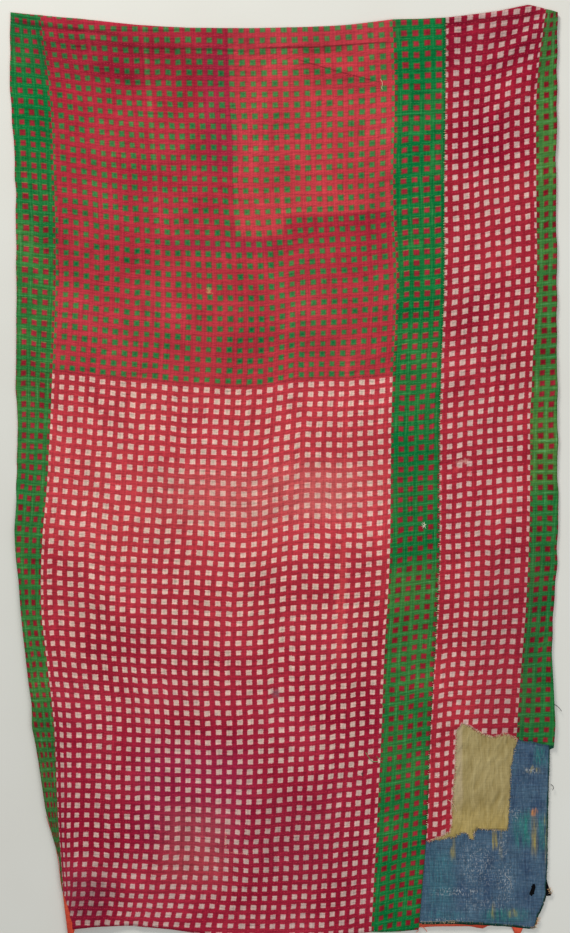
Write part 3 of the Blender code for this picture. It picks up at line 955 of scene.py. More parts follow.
def side_cloth(name):
    """The side cloth: a crimson ground with cream squares and one green strip."""
    paint = Paint(name)
    weave = Weave(paint)
    column, row = weave.column, weave.row
    wave = paint.noise(row * 1.7, 0.0, 1.0) * 0.12
    on_green = paint.past(column + wave, SIDE_HALF)
    faded = paint.ramp(row, FADED_CRIMSON)
    red = paint.mix(CRIMSON, FADED, faded + weave.cloud * 0.8)
    # The cream squares are greyer in the top rows.
    cream = cream_square(weave, 0.7 - paint.step(row, 12.0, 18.0) * 0.25)
    field = paint.mix(red, cream, weave.inside)
    brick_share = 0.04 + paint.step(row, 14.0, 30.0) * 0.12
    strip = strip_of_green(weave, paint.ramp(row, RIGHT_OLIVE), brick_share)
    colour = stains_and_painted_light(weave, paint.mix(field, strip, on_green), SIDE_STAINS_AND_PAINTED_SHADE)
    # Painted shadow in the sharp creases.
    colour = crease_shadowed(weave, colour, SIDE_CREASE_SHADOWS)
    torn_edge = 1.0 - paint.step(paint.attribute("edge")[0], 0.5, 3.5)
    colour = paint.mix(colour, CREAM_RIM, torn_edge * 0.6 * (1.0 - on_green))
    return paint.finish(paint.dim(colour, weave.shading()), weave.height())


def plain_cloth(name):
    """The orange backing, with running stitches on its underside and a dark selvage low at the right."""
    paint = Paint(name)
    column, row, _unused = paint.attribute("weave")
    warp, weft = paint.threads(column, row, 7.0, 0.4)
    cloud = paint.noise(column * 0.14, row * 0.14, 6.0, 3.0)
    colour = paint.mix(DEEP_ORANGE, PALE_ORANGE, 0.5 + cloud * 1.6)
    under = 1.0 - paint.facing_up()
    line = row * 2.0
    line_away = abs(line - line.round())
    along = column * 3.2 + paint.scatter(line.round(), 0.0) * 3.0
    dash_away = abs(along - along.round())
    dash = 1.0 - paint.step(dash_away, 0.26, 0.32)
    stitch = (1.0 - paint.step(line_away, 0.05, 0.10)) * dash * under
    colour = paint.mix(colour, PALE_THREAD, stitch * 0.8)
    colour = paint.mix(colour, SELVAGE, paint.step(column, 54.1, 54.3) * paint.step(row, 60.0, 62.0))
    colour = paint.dim(colour, 1.0 + warp * 0.7 + weft * 0.7 + cloud * 0.3)
    pucker = paint.math("COSINE", line * (2.0 * math.pi)) * -0.25 * under
    waves = paint.noise(column * 1.2, row * 2.0, 8.0, 2.0)
    return paint.finish(colour, pucker + waves * 1.8 + stitch * 0.3 + (warp + weft) * 0.5)


def blue_cloth(name):
    """The worn blue layer with teal and ochre streaks and white flecks."""
    paint = Paint(name)
    column, row, _unused = paint.attribute("weave")
    edge = paint.attribute("edge")[0]
    warp, weft = paint.threads(column, row, 6.5, 0.6)
    cloud = paint.noise(column * 0.5, row * 0.45, 6.0, 3.0)
    blue = paint.mix(DEEP_BLUE, PALE_BLUE, 0.5 + cloud * 1.3 + warp * 0.5)
    for x, y, wide, tall, shade, strength in BLUE_PATCHES:
        ragged = paint.noise(column * 3.0, row * 0.7, x)
        spot = paint.spot(column + ragged * 0.5, row + ragged, x / SQUARE, y / SQUARE, wide, tall)
        blue = paint.mix(blue, shade, spot * (warp * 2.0 + strength))
    worn = 0.10
    for x, y, wide, tall, amount in BLUE_WORN:
        worn = paint.spot(column, row, x / SQUARE, y / SQUARE, wide, tall) * amount + worn
    upright = paint.step(paint.noise(column * 10.0, row * 3.0, 7.0), 0.05, 0.17)
    level = paint.step(paint.noise(column * 3.0, row * 10.0, 8.0), 0.07, 0.19)
    blue = paint.mix(blue, FLECK, upright.at_least(level * 0.7) * worn)
    selvage = 1.0 - paint.step(edge, 1.5, 3.5)
    blue = paint.mix(blue, SELVAGE, selvage * 0.7 * paint.step(row, 70.5, 71.5))
    colour = paint.dim(blue, 1.0 + warp * 0.9 + weft * 1.0)
    return paint.finish(colour, (warp + weft) * 1.2 + cloud * 1.2)


def khaki_cloth(name):
    """The thin khaki layer, crinkled down its length, with a paler strip at its left."""
    paint = Paint(name)
    column, row, _unused = paint.attribute("weave")
    bend = paint.noise(column * 0.35, row * 0.35, 2.0, 2.0) * 1.4
    crinkle = paint.noise((column + bend) * 3.6, row * 0.28, 4.0, 2.0)
    slant = paint.noise((column * 0.8 + row * 0.45) * 1.6, (row - column) * 0.35, 3.0, 1.0)
    warp = paint.noise(column * 12.0, row * 0.8, 5.0, 2.0)
    weft = paint.noise(column * 0.8, row * 12.0, 6.0)
    cloud = paint.noise(column * 0.4, row * 0.4, 7.0, 2.0)
    colour = paint.mix(DEEP_KHAKI, PALE_KHAKI, 0.5 + crinkle * 1.1 + slant * 0.8 + cloud * 0.8)
    pale = (1.0 - paint.step(column + cloud * 0.3, 44.2, 44.5)) * (1.0 - paint.step(row, 75.0, 79.0))
    colour = paint.mix(colour, KHAKI_STRIP, pale * 0.65)
    colour = paint.mix(colour, KHAKI_GOLD, paint.step(row, 76.0, 80.0) * 0.45)
    colour = paint.dim(colour, 1.0 + warp * 0.5 + weft * 0.4)
    return paint.finish(colour, crinkle * 3.0 + slant * 5.0 + warp * 0.6)


# How many twists a thread has to the metre.
TWISTS = 900.0


def thread_material(name):
    paint = Paint(name, roughness=0.8)
    x, y, z = paint.position()
    twist = paint.noise(x * TWISTS, y * TWISTS, z * TWISTS)
    return paint.finish(paint.dim(paint.tint(), 1.0 + twist * 0.8), twist * 0.1)


def dark_cloth(name):
    """The dark green cloth whose edge shows under the blue one, with a painted black shadow where the
    slit opens on to it.
    """
    paint = Paint(name)
    column, row, _unused = paint.attribute("weave")
    grain = paint.noise(column * 9.0, row * 9.0, 3.0, 2.0)
    colour = paint.mix(BLACK_GREEN, SELVAGE, 0.5 + grain * 2.0)
    # Painted shadow: black across the rows that the slit in the blue cloth shows.
    colour = paint.mix(colour, SLIT_SHADOW_BLACK, paint.line(row, 85.3, 1.6))
    return paint.finish(colour, grain * 0.5)


# Colours, as a screen shows them.
DEEP_RED = srgb(151, 19, 46)
CRIMSON = srgb(143, 14, 42)
FADED = srgb(192, 61, 68)
# A pale haze for faded cloth, and the colour of a painted highlight on one fold.
PALE_HAZE_AND_HIGHLIGHT = srgb(202, 124, 116)
VIOLET = srgb(146, 34, 78)
DEEP_LEAF = srgb(0, 108, 58)
PALE_LEAF = srgb(98, 142, 78)
CREAM_MIDDLE = srgb(194, 175, 153)
CREAM_RIM = srgb(229, 185, 172)
CREAM_GREY = srgb(182, 152, 150)
DEEP_GREEN = srgb(0, 112, 54)
OLIVE = srgb(92, 128, 56)
PALE_GREEN = srgb(96, 164, 112)
DARK_BRICK = srgb(128, 13, 31)
PALE_BRICK = srgb(194, 60, 73)
GOLD_THREAD = srgb(196, 170, 110)
DEEP_ORANGE = srgb(188, 58, 40)
PALE_ORANGE = srgb(222, 98, 70)
PALE_THREAD = srgb(222, 196, 158)
SELVAGE = srgb(16, 70, 52)
BLACK_GREEN = srgb(10, 24, 22)
# Black for the painted shadow in the slit.
SLIT_SHADOW_BLACK = srgb(6, 6, 8)
DEEP_BLUE = srgb(40, 58, 88)
PALE_BLUE = srgb(80, 108, 126)
TEAL = srgb(36, 112, 102)
SEA_BLUE = srgb(58, 102, 114)
OCHRE = srgb(150, 134, 62)
RUST = srgb(196, 128, 70)
FLECK = srgb(168, 172, 174)
DEEP_KHAKI = srgb(136, 118, 70)
PALE_KHAKI = srgb(179, 163, 115)
KHAKI_STRIP = srgb(181, 164, 131)
KHAKI_GOLD = srgb(173, 148, 76)
DARK_STAIN = srgb(60, 40, 44)
# Dark plum for painted shade.
PAINTED_SHADE_PLUM = srgb(72, 8, 40)
SMUDGE = srgb(120, 90, 100)

# How far the reds have faded, and how yellow the green strips have gone, by row.
FADED_RED = (
    (-1, 0.30), (5, 0.34), (11, 0.38), (15.0, 0.38), (15.7, 0.52), (18.5, 0.55), (21.5, 0.68),
    (33.4, 0.70), (33.6, 0.80), (38, 0.82), (44, 1.0), (48, 0.96), (51.6, 0.62), (56, 0.50),
    (61, 0.32), (68, 0.18), (75, 0.15), (84, 0.16), (92, 0.20))
FADED_CRIMSON = (
    (-1, 0.04), (14, 0.08), (17, 0.28), (30, 0.28), (34, 0.38), (40, 0.40), (50, 0.34), (60, 0.40),
    (66, 0.44), (74, 0.40), (92, 0.40))
BAND_OLIVE = (
    (-1, 0.02), (14, 0.02), (24, 0.06), (33, 0.10), (44, 0.08), (52, 0.10), (54, 0.42), (60, 0.30),
    (66, 0.20), (74, 0.16), (78, 0.06), (92, 0.06))
LEFT_OLIVE = (
    (-1, 0.02), (14, 0.06), (20, 0.26), (32, 0.26), (35, 0.46), (42, 0.22), (52, 0.26), (60, 0.36),
    (92, 0.44))
RIGHT_OLIVE = (
    (-1, 0.40), (14, 0.54), (28, 0.48), (38, 0.50), (41, 0.74), (45, 0.66), (47, 0.22), (58, 0.16),
    (64, 0.20), (80, 0.16))

# Stains, painted shade and a painted highlight on the two top cloths: column, row, half width, half
# height, colour and strength.
MAIN_STAINS_AND_PAINTED_LIGHT = (
    (26.5, 64.3, 0.5, 0.6, SMUDGE, 0.6),
    (35.3, 73.2, 0.16, 0.22, DARK_STAIN, 0.8),
    (18.95, 24.4, 0.34, 0.34, GOLD_THREAD, 0.6),
    (25.0, 44.4, 14.0, 4.2, PALE_HAZE_AND_HIGHLIGHT, 0.20),
    # Painted highlight on a fold low in the field.
    (18.9, 79.6, 5.0, 5.5, PALE_HAZE_AND_HIGHLIGHT, 0.16),
    (31.0, 45.0, 4.0, 3.5, PALE_HAZE_AND_HIGHLIGHT, 0.14),
    # Painted shade: in the low fold at the bottom left, along the rolled left edge, low in the middle
    # and along the top hem.
    (8.3, 85.4, 4.0, 4.0, PAINTED_SHADE_PLUM, 0.40),
    (2.0, 80.0, 5.0, 18.0, PAINTED_SHADE_PLUM, 0.18),
    (28.5, 78.5, 6.0, 7.0, PAINTED_SHADE_PLUM, 0.22),
    (10.0, 1.0, 18.0, 7.0, PAINTED_SHADE_PLUM, 0.16),
    (29.0, 0.0, 12.0, 2.6, PAINTED_SHADE_PLUM, 0.22),
)
SIDE_STAINS_AND_PAINTED_SHADE = (
    (43.7, 43.4, 0.42, 0.38, FADED, 0.7),
    (44.9, 43.8, 0.40, 0.36, FADED, 0.6),
    (44.3, 42.7, 0.9, 0.35, CREAM_RIM, 0.4),
    # Painted shade at the top and low down the right of the side cloth.
    (46.0, 0.0, 14.0, 8.0, PAINTED_SHADE_PLUM, 0.18),
    (50.0, 62.0, 5.0, 16.0, PAINTED_SHADE_PLUM, 0.20),
)

# Painted shadow lines in sharp creases: first column and row, last column and row, half width, strength.
MAIN_CREASE_SHADOWS = (
    (0.5, 0.15, 8.0, 0.22, 0.34, 0.38),
    (7.0, 0.19, 11.5, 0.62, 0.26, 0.32),
    (9.0, 0.20, 19.0, 0.05, 0.13, 0.30),
    (6.0, 1.05, 14.5, 1.72, 0.26, 0.24),
    (14.0, 1.70, 23.0, 1.92, 0.16, 0.28),
    (25.0, 1.70, 37.0, 1.70, 0.13, 0.42),
    (26.0, 3.15, 37.0, 3.52, 0.12, 0.16),
    (28.2, 2.80, 35.8, 5.42, 0.09, 0.34),
    (4.2, 33.42, 36.9, 33.42, 0.12, 0.26),
)
SIDE_CREASE_SHADOWS = (
    (42.0, 0.30, 50.0, 0.60, 0.30, 0.26),
)

# Patches on the blue cloth: x and y in mm, half width and half height in squares, colour, strength.
BLUE_PATCHES = (
    (1047, 2092, 2.0, 4.4, SEA_BLUE, 0.65),
    (1239, 1975, 1.1, 2.3, TEAL, 0.36),
    (1253, 1968, 0.5, 2.2, TEAL, 0.55),
    (1290, 1985, 0.5, 2.3, TEAL, 0.42),
    (1271, 1988, 0.42, 2.4, OCHRE, 0.50),
    (1270, 1932, 0.42, 0.5, RUST, 0.65),
    (1176, 1998, 0.36, 1.3, OCHRE, 0.55),
    (1078, 2016, 0.30, 1.6, OCHRE, 0.45),
    (1202, 2178, 3.0, 0.9, TEAL, 0.42),
    (1219, 2172, 0.6, 0.5, OCHRE, 0.40),
    (1173, 2166, 0.25, 1.1, OCHRE, 0.28),
    (1192, 2005, 0.20, 1.8, OCHRE, 0.30),
    (1060, 2178, 3.0, 0.6, SEA_BLUE, 0.5),
    (1285, 1797, 0.9, 1.5, TEAL, 0.35),
    (1266, 1832, 1.0, 0.35, OCHRE, 0.35),
    (1297, 2000, 0.20, 4.0, OCHRE, 0.20),
)

# Where the blue cloth is worn to white flecks: place and size as above, and how many flecks.
BLUE_WORN = (
    (1089, 2121, 3.2, 0.48, 0.60),
    (1202, 2099, 1.1, 2.3, 0.50),
    (1196, 2010, 0.6, 1.6, 0.60),
    (1266, 1833, 1.1, 0.5, 0.60),
    (1227, 1938, 0.7, 0.8, 0.50),
    (1136, 2056, 2.2, 2.6, 0.42),
    (1150, 2152, 3.2, 1.0, 0.25),
    (1060, 2190, 3.0, 0.5, 0.35),
)


# ----------------------------------------
# Stitches and threads
# ----------------------------------------


def running_stitches(name, low, high, lift, torn, green_from, green_to):
    """Rows of small stitches between the rows of squares; red but for the green strips."""
    rng = np.random.default_rng(31)
    columns = np.arange(low, high, STITCH_PITCH)
    rows = np.arange(0.5, 90.0, 1.0)
    column, row = np.meshgrid(columns, rows)
    column = column + rng.uniform(0.0, STITCH_PITCH, rows.shape)[:, None]
    column = column + rng.uniform(-0.04, 0.04, row.shape)
    row = row + rng.uniform(-0.05, 0.05, row.shape)
    length = STITCH_LENGTH * rng.uniform(0.7, 1.15, row.shape)
    there = (row > read_table(TOP_HEM, column) + 0.2) & (row < read_table(TOP_FOOT, column) - 0.3)
    there &= (column > low + 0.15) & (column + length < high) & (rng.random(row.shape) < STITCHES_LEFT)
    x, y = flat_place(column, row)
    away, _step_x, _step_y = to_outline(x, y, torn)
    left_edge = read_lines(LINE_X, row.ravel())[:, 0].reshape(row.shape)
    there &= ~inside_outline(x, y, torn) & (away > TORN_CLEAR)
    there &= x > left_edge + read_table(TURNED_UNDER, row)
    column, row, length = column[there], row[there], length[there]
    starts = skin(column, row, lift(column, row) + CLOTH)
    ends = skin(column + length, row, lift(column, row) + CLOTH)
    raised = skin(column + length / 2.0, row, lift(column, row) + CLOTH + 1.0)
    normals = unit(raised - (starts + ends) / 2.0)
    green = (column < green_to) | (column > green_from)
    tints = pick_tints(green, GREEN_THREAD, RED_THREAD) * rng.uniform(0.8, 1.15, (len(row), 1))
    return stitch_mesh(name, starts, ends, normals, STITCH_WIDTH, STITCH_HEIGHT, tints)


def pick_tints(first, one, other):
    """One thread colour where first holds, another elsewhere."""
    return np.where(first[:, None], one[:3], other[:3])


def fringe(rng, starts, outward, length, spread, lift):
    """Frayed threads that leave a torn edge: starts and outward are in mm across and down."""
    count = len(starts)
    turn = rng.normal(0.0, spread, count)
    turned_x = outward[:, 0] * np.cos(turn) - outward[:, 1] * np.sin(turn)
    turned_y = outward[:, 0] * np.sin(turn) + outward[:, 1] * np.cos(turn)
    reach = length * rng.uniform(0.4, 1.3, count)
    bow = rng.normal(0.0, 0.25, count) * reach
    shares = np.linspace(-0.35, 1.0, THREAD_STATIONS)
    x = starts[:, :1] + (turned_x * reach)[:, None] * shares - (turned_y * bow)[:, None] * shares ** 2
    y = starts[:, 1:] + (turned_y * reach)[:, None] * shares + (turned_x * bow)[:, None] * shares ** 2
    return on_flat(x, y, lift - 0.7 * np.clip(shares, 0.0, 1.0))


def edge_points(outline, spacing):
    """Evenly spaced points on an open line in mm, with the direction to its left."""
    corners = np.array(outline, float)
    steps = np.diff(corners, axis=0)
    lengths = np.hypot(*steps.T)
    total = np.concatenate(((0.0,), np.cumsum(lengths)))
    at = np.arange(spacing / 2.0, total[-1], spacing)
    cell = np.clip(np.searchsorted(total, at) - 1, 0, len(steps) - 1)
    part = (at - total[cell]) / lengths[cell]
    points = corners[cell] + steps[cell] * part[:, None]
    forward = steps[cell] / lengths[cell][:, None]
    return points, np.stack((forward[:, 1], -forward[:, 0]), axis=-1)


def frayed_threads(name):
    rng = np.random.default_rng(41)
    lines = []
    tints = []
    for outline, spacing, length, lift, colours in FRINGES:
        points, outward = edge_points(outline, spacing)
        points = points + rng.uniform(-1.0, 1.0, points.shape)
        lines.append(fringe(rng, points, outward, length, 0.5, lift))
        picks = rng.integers(0, len(colours), len(points))
        tints.append(np.array([colours[pick][:3] for pick in picks]))
    return thread_mesh(name, np.concatenate(lines), FRAY_WIDTH, np.concatenate(tints))


def long_threads(name):
    """Single threads that lie on the cloth or stick out past its edge, each a soft curve."""
    lines = []
    tints = []
    for points, lift, colour in LONG_THREADS:
        corners = np.array(points, float)
        keys = np.linspace(0.0, 1.0, len(corners))
        shares = np.linspace(0.0, 1.0, THREAD_STATIONS * 2)
        lines_xy = np.broadcast_to(corners.T[:, None], (2, len(shares), len(keys)))
        x, y = (read_curve(keys, line, shares) for line in lines_xy)
        lines.append(on_flat(x, y, lift))
        tints.append(colour[:3])
    return thread_mesh(name, np.array(lines), LOOSE_WIDTH, np.array(tints))


def seam_stitches(name):
    """Small overcast stitches that join the side cloth to the main one."""
    rng = np.random.default_rng(51)
    row = np.arange(0.2, 80.0, SEAM_PITCH)
    row = row + rng.uniform(-0.04, 0.04, row.shape)
    lift = main_lift(np.full(row.shape, SEAM), row) + CLOTH
    starts = skin(SEAM - rng.uniform(0.08, 0.16, row.shape), row, lift)
    across_seam = SEAM + rng.uniform(0.10, 0.22, row.shape)
    ends = skin(across_seam, row + rng.uniform(0.0, 0.08, row.shape), lift)
    normals = np.broadcast_to(UPRIGHT, starts.shape)
    tints = pick_tints(rng.random(row.shape) < 0.6, GREEN_THREAD, PALE_THREAD)
    return stitch_mesh(name, starts, ends, normals, STITCH_WIDTH, SEAM_HEIGHT, tints)


def mend_stitches(name):
    """The pink mend of an L-shaped tear: short stitches along and across it."""
    rng = np.random.default_rng(61)
    starts = []
    ends = []
    for outline in MEND_LINES:
        points, outward = edge_points(outline, MEND_PITCH)
        points = points + rng.uniform(-0.6, 0.6, points.shape)
        reach = rng.uniform(1.2, 3.4, (len(points), 1))
        starts.append(points - outward * reach)
        ends.append(points + outward * reach + rng.uniform(-1.2, 1.2, points.shape))
    starts = np.concatenate(starts)
    ends = np.concatenate(ends)
    low = on_flat(starts[:, 0], starts[:, 1], LAYER + CLOTH)
    high = on_flat(ends[:, 0], ends[:, 1], LAYER + CLOTH)
    normals = np.broadcast_to(UPRIGHT, low.shape)
    tints = pick_tints(rng.random(len(low)) < 0.7, MEND_PINK, PALE_THREAD)
    return stitch_mesh(name, low, high, normals, MEND_WIDTH, MEND_HEIGHT, tints)


RED_THREAD = srgb(190, 62, 76)
GREEN_THREAD = srgb(60, 140, 84)
MEND_PINK = srgb(224, 120, 120)
BLACK_THREAD = srgb(34, 32, 40)
ORANGE_THREAD = srgb(226, 110, 80)
ORANGE_EDGE = srgb(204, 80, 48)
FLAKE = srgb(214, 218, 192)

THREAD_STATIONS = 6

# Torn edges that fray: line in mm (threads go to its left), spacing, length, lift and colours.
CRIMSON_LIFT = 3.0 * LAYER + CLOTH
KHAKI_LIFT = 2.0 * LAYER + CLOTH * 0.8
BLUE_LIFT = LAYER + CLOTH * 0.8
FRINGES = (
    (TORN_AWAY[8:1:-1], 1.0, 5.0, CRIMSON_LIFT, (PALE_THREAD, PALE_THREAD, RED_THREAD)),
    (((1084, 1741), (1082, 1838), (1077, 1883), (1074, 1960), (1071, 1978)),
     2.2, 3.5, CRIMSON_LIFT, (PALE_THREAD, RED_THREAD)),
    (((1071, 1978), (1045, 1990), (1016, 2000)),
     0.8, 4.0, CRIMSON_LIFT, (PALE_THREAD, PALE_THREAD, RED_THREAD)),
    (((1319, 1774), (1240, 1762)), 3.0, 2.5, CRIMSON_LIFT, (GREEN_THREAD, GREEN_THREAD)),
    (KHAKI[6:16], 1.4, 4.0, KHAKI_LIFT, (KHAKI_GOLD, PALE_THREAD)),
    (KHAKI[2:7], 3.0, 2.5, KHAKI_LIFT, (KHAKI_GOLD, PALE_THREAD)),
    (((1258, 2203), (1173, 2196), (1080, 2190), (1000, 2193)),
     2.4, 3.5, BLUE_LIFT, (PALE_THREAD, SELVAGE, TEAL)),
    (((1090, 2190), (1000, 2193)), 1.2, 4.5, BLUE_LIFT, (PALE_THREAD,)),
    (((1306, 1790), *BLUE[4:9]), 3.0, 3.0, BLUE_LIFT, (SELVAGE, BLACK_THREAD)),
    (((1280, 2182), (1272, 2205), (1262, 2206)), 1.0, 6.0, BLUE_LIFT, (PALE_THREAD, RUST)),
    (((1304, 2114), (1310, 2126)), 0.8, 8.0, LAYER, (PALE_THREAD, RUST, BLACK_THREAD)),
)

# Loose threads: points in mm, height above the quilt's underside, colour.
LONG_THREADS = (
    (((905, 190), (910, 200), (908, 212), (911, 214)), LAYER + CLOTH + 0.5, PALE_THREAD),
    (((1316, 1674), (1328, 1682), (1336, 1692)), 2.2, BLACK_THREAD),
    (((1311, 1866), (1317, 1873), (1314, 1880)), 1.6, BLACK_THREAD),
    (((1066, 1902), (1078, 1912), (1086, 1930)), CRIMSON_LIFT, PALE_THREAD),
    (((896, 1800), (912, 1812), (934, 1816)), LAYER + CLOTH + 0.5, GREEN_THREAD),
    (((870, 1790), (884, 1810), (900, 1812)), LAYER + CLOTH + 0.5, PALE_GREEN),
    (((990, 2205), (996, 2212), (990, 2218)), 1.4, ORANGE_THREAD),
    (((1000, 2203), (1010, 2208), (1016, 2216)), 1.4, ORANGE_THREAD),
    (((1200, 2080), (1214, 2096), (1216, 2112)), BLUE_LIFT + 0.6, FLECK),
    (((112, 1940), (121, 1968), (132, 1999), (141, 2050)), 9.6, ORANGE_EDGE),
    (((140, 2040), (145, 2080), (149, 2110), (153, 2124)), 9.6, ORANGE_EDGE),
    (((1003, 1246), (1008, 1251), (1014, 1247)), LAYER + CLOTH + 0.6, FLAKE),
    (((1006, 1257), (1009, 1250), (1009, 1242)), LAYER + CLOTH + 1.0, FLAKE),
    (((1003, 1252), (1009, 1253), (1013, 1257)), LAYER + CLOTH + 0.8, FLAKE),
    (((1005, 1244), (1010, 1247), (1011, 1253)), LAYER + CLOTH + 1.2, FLAKE),
)

MEND_LINES = (
    ((537, 1979), (537, 2026)),
    ((537, 2026), (560, 2029), (588, 2032)),
)

# The running stitches' pitch and length and the seam stitches' pitch, in squares, where along it a
# stitch is widest, and the share of running stitches that are left.
STITCH_PITCH = 0.32
STITCH_LENGTH = 0.19
SEAM_PITCH = 0.24
STITCH_SHOULDERS = (0.22, 0.78)
STITCHES_LEFT = 0.94

# Widths and heights of stitches and threads, the mend's pitch, and how far running stitches keep
# from a torn edge, in mm.
STITCH_WIDTH = 0.9
STITCH_HEIGHT = 0.4
SEAM_HEIGHT = 0.8
MEND_WIDTH = 1.0
MEND_HEIGHT = 0.5
MEND_PITCH = 3.2
FRAY_WIDTH = 0.55
LOOSE_WIDTH = 1.3
TORN_CLEAR = 5.0
UPRIGHT = (0.0, 0.0, 1.0)


# ----------------------------------------
# The scene
# ----------------------------------------


def add_camera():
    """Straight above, with the photograph's frame and scale."""
    camera = bpy.data.cameras.new("camera")
    camera.sensor_width = SENSOR
    camera.lens = SENSOR * CAMERA_HEIGHT / (PHOTO_HEIGHT * MM_PER_PIXEL * MM)
    holder = bpy.data.objects.new("camera", camera)
    centre_x = PHOTO_WIDTH / 2.0 * MM_PER_PIXEL - CENTRE_X
    centre_y = CENTRE_Y - PHOTO_HEIGHT / 2.0 * MM_PER_PIXEL
    holder.location = (centre_x * MM, centre_y * MM, CAMERA_HEIGHT)
    bpy.context.scene.collection.objects.link(holder)
    bpy.context.scene.camera = holder


def add_light(name, place, size, power, colour):
    """A soft square light aimed at the quilt's middle."""
    light = bpy.data.lights.new(name, "AREA")
    light.shape = "SQUARE"
    light.size = size
    light.energy = power
    light.color = colour
    holder = bpy.data.objects.new(name, light)
    holder.location = place
    holder.rotation_euler = Vector(place).to_track_quat("Z", "Y").to_euler()
    bpy.context.scene.collection.objects.link(holder)


def add_stage():
    bpy.ops.mesh.primitive_plane_add(size=FLOOR_SIZE, location=(0.0, 0.0, FLOOR_Z))
    floor = bpy.context.object
    floor.name = "floor"
    paint = Paint("floor", roughness=0.8, sheen=0.0)
    x, y, _z = paint.position()
    grain = paint.noise(x * 3.0, y * 3.0, 0.0, 2.0) + 0.5
    floor.data.materials.append(paint.finish(paint.mix(FLOOR_WARM, FLOOR_PALE, grain), grain * 0.1))
    world = bpy.data.worlds.new("studio")
    world.use_nodes = True
    background = world.node_tree.nodes["Background"]
    background.inputs["Color"].default_value = WORLD_COLOUR
    background.inputs["Strength"].default_value = WORLD_LIGHT
    bpy.context.scene.world = world
    for name, place, size, power, colour in LIGHTS:
        add_light(name, place, size, power, colour)
    bpy.context.scene.view_settings.view_transform = "Standard"


# The floor's size and height in metres, its colours, and the lights: name, place in metres, size,
# power and colour.
FLOOR_SIZE = 30.0
FLOOR_Z = -0.001
FLOOR_WARM = srgb(215, 213, 204)
FLOOR_PALE = srgb(223, 224, 217)
WORLD_COLOUR = (0.94, 0.97, 1.0, 1.0)
WORLD_LIGHT = 0.36
LIGHTS = (
    ("key", (-2.0, 4.9, 2.4), 1.5, 290.0, (1.0, 0.97, 0.93)),
    ("fill", (1.6, -0.9, 3.4), 2.6, 52.0, (0.97, 0.98, 1.0)),
)

# The full-length cloths' lattices: the left edge's step and how far in it goes, in squares, the
# places across beyond it, the places down, and how far a place may move to a cut edge, in mm. An
# inner layer's places move by a share of its own step.
EDGE_STEP = 0.13
EDGE_ZONE = 7.0
BACKING_ACROSS = 110
BACKING_DOWN = 216
MAIN_ACROSS = 106
MAIN_DOWN = 270
SIDE_ACROSS = 52
SIDE_DOWN = 420
SNAP = 3.4
OUTLINE_REACH = 0.55
HOLE_REACH = 0.5

# The inner layers' lattice steps, the thickness of the backing and the two larger inner layers, and
# the dark edge cloth's own thickness and lift, in mm.
INNER_STEP = 4.0
DARK_STEP = 5.0
THIN_CLOTH = 0.9
DARK_THICKNESS = 0.3
DARK_LIFT = 0.95

# The dark cloth that edges the blue one and sticks out in a small tab, and the slit, in mm.
DARK_EDGE = ((1265, 1770), (1308.5, 1774), (1306.5, 1842), (1303.5, 1949), (1302.5, 2054),
             (1300, 2092), (1303, 2104), (1311, 2126), (1310, 2131), (1300, 2131), (1293, 2154),
             (1281, 2178), (1274, 2208), (1258, 2209), (1173, 2202), (1080, 2198), (1003, 2199),
             (1003, 2150), (1180, 2150), (1235, 2120), (1250, 2040))
SLIT = ((1267, 2100), (1273, 2102), (1274, 2112), (1270, 2124), (1263, 2134), (1258, 2135),
        (1259, 2124), (1264, 2112))


def declare(piece, node, material):
    """Gives a cloth its material, puts it under the root body, and hides the CAD node that it stands
    for, if any.
    """
    piece.data.materials.append(material)
    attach(piece, "root")
    if node is not None:
        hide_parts(node)


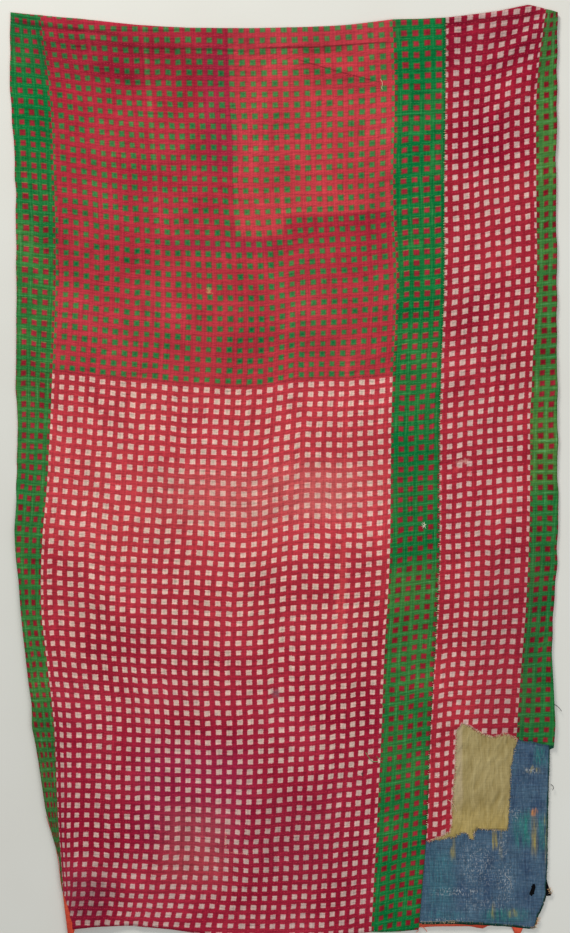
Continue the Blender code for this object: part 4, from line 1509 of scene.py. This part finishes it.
def add_cloths():
    edge = np.arange(LEFT_EDGE, EDGE_ZONE, EDGE_STEP)
    main_columns = np.concatenate((edge, np.linspace(EDGE_ZONE, SEAM, MAIN_ACROSS)))
    backing_columns = np.concatenate((edge, np.linspace(EDGE_ZONE, RIGHT_EDGE, BACKING_ACROSS)))
    side_columns = np.linspace(SEAM + SPACE / SQUARE, RIGHT_EDGE, SIDE_ACROSS)
    corner = frayed(TORN_CORNER, step=7.0, depth=1.2, seed=11)
    torn = frayed(TORN_AWAY, step=7.0, depth=1.8, seed=12)
    worn = frayed(WORN_EDGE, step=7.0, depth=0.8, seed=16)
    dark_edge = frayed(DARK_EDGE, step=8.0, depth=0.6, seed=15)
    blue_edge = frayed(BLUE, step=8.0, depth=1.0, seed=13)
    khaki_edge = frayed(KHAKI, step=7.0, depth=1.5, seed=14)
    slit = np.array(SLIT, float)
    backing = cloth_on_quilt(
        "quilt_backing", backing_columns, BACKING_FOOT, BACKING_DOWN, no_lift, THIN_CLOTH, worn)
    top_main = cloth_on_quilt(
        "quilt_top_main", main_columns, TOP_FOOT, MAIN_DOWN, main_lift, CLOTH, corner)
    top_side = cloth_on_quilt(
        "quilt_top_side", side_columns, TOP_FOOT, SIDE_DOWN, side_lift, CLOTH, torn)
    dark = cloth_patch("quilt_inner_dark", dark_edge, DARK_STEP, DARK_LIFT, DARK_THICKNESS)
    blue = cloth_patch("quilt_inner_blue", blue_edge, INNER_STEP, LAYER, THIN_CLOTH, slit)
    khaki = cloth_patch("quilt_inner_khaki", khaki_edge, INNER_STEP, 2.0 * LAYER, THIN_CLOTH)
    declare(backing, "backing", plain_cloth("backing_orange"))
    declare(top_main, "top_main", top_cloth("top_main_check"))
    declare(top_side, "top_side", side_cloth("top_side_check"))
    declare(dark, None, dark_cloth("inner_dark_edge"))
    declare(blue, "inner_blue", blue_cloth("inner_blue_worn"))
    declare(khaki, "inner_khaki", khaki_cloth("inner_khaki_crinkled"))


def add_threads():
    thread = thread_material("thread")
    corner = np.array(TORN_CORNER, float)
    torn = np.array(TORN_AWAY, float)
    pieces = (
        running_stitches("stitches_main", 0.3, 41.4, main_lift, corner, BAND, BORDER),
        running_stitches("stitches_side", 41.8, 53.0, side_lift, torn, SIDE_BORDER, 0.0),
        seam_stitches("stitches_seam"),
        mend_stitches("stitches_mend"),
        frayed_threads("threads_frayed"),
        long_threads("threads_loose"),
    )
    for piece in pieces:
        piece.data.materials.append(thread)
        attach(piece, "root")


def main():
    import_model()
    add_camera()
    add_stage()
    add_cloths()
    add_threads()


main()
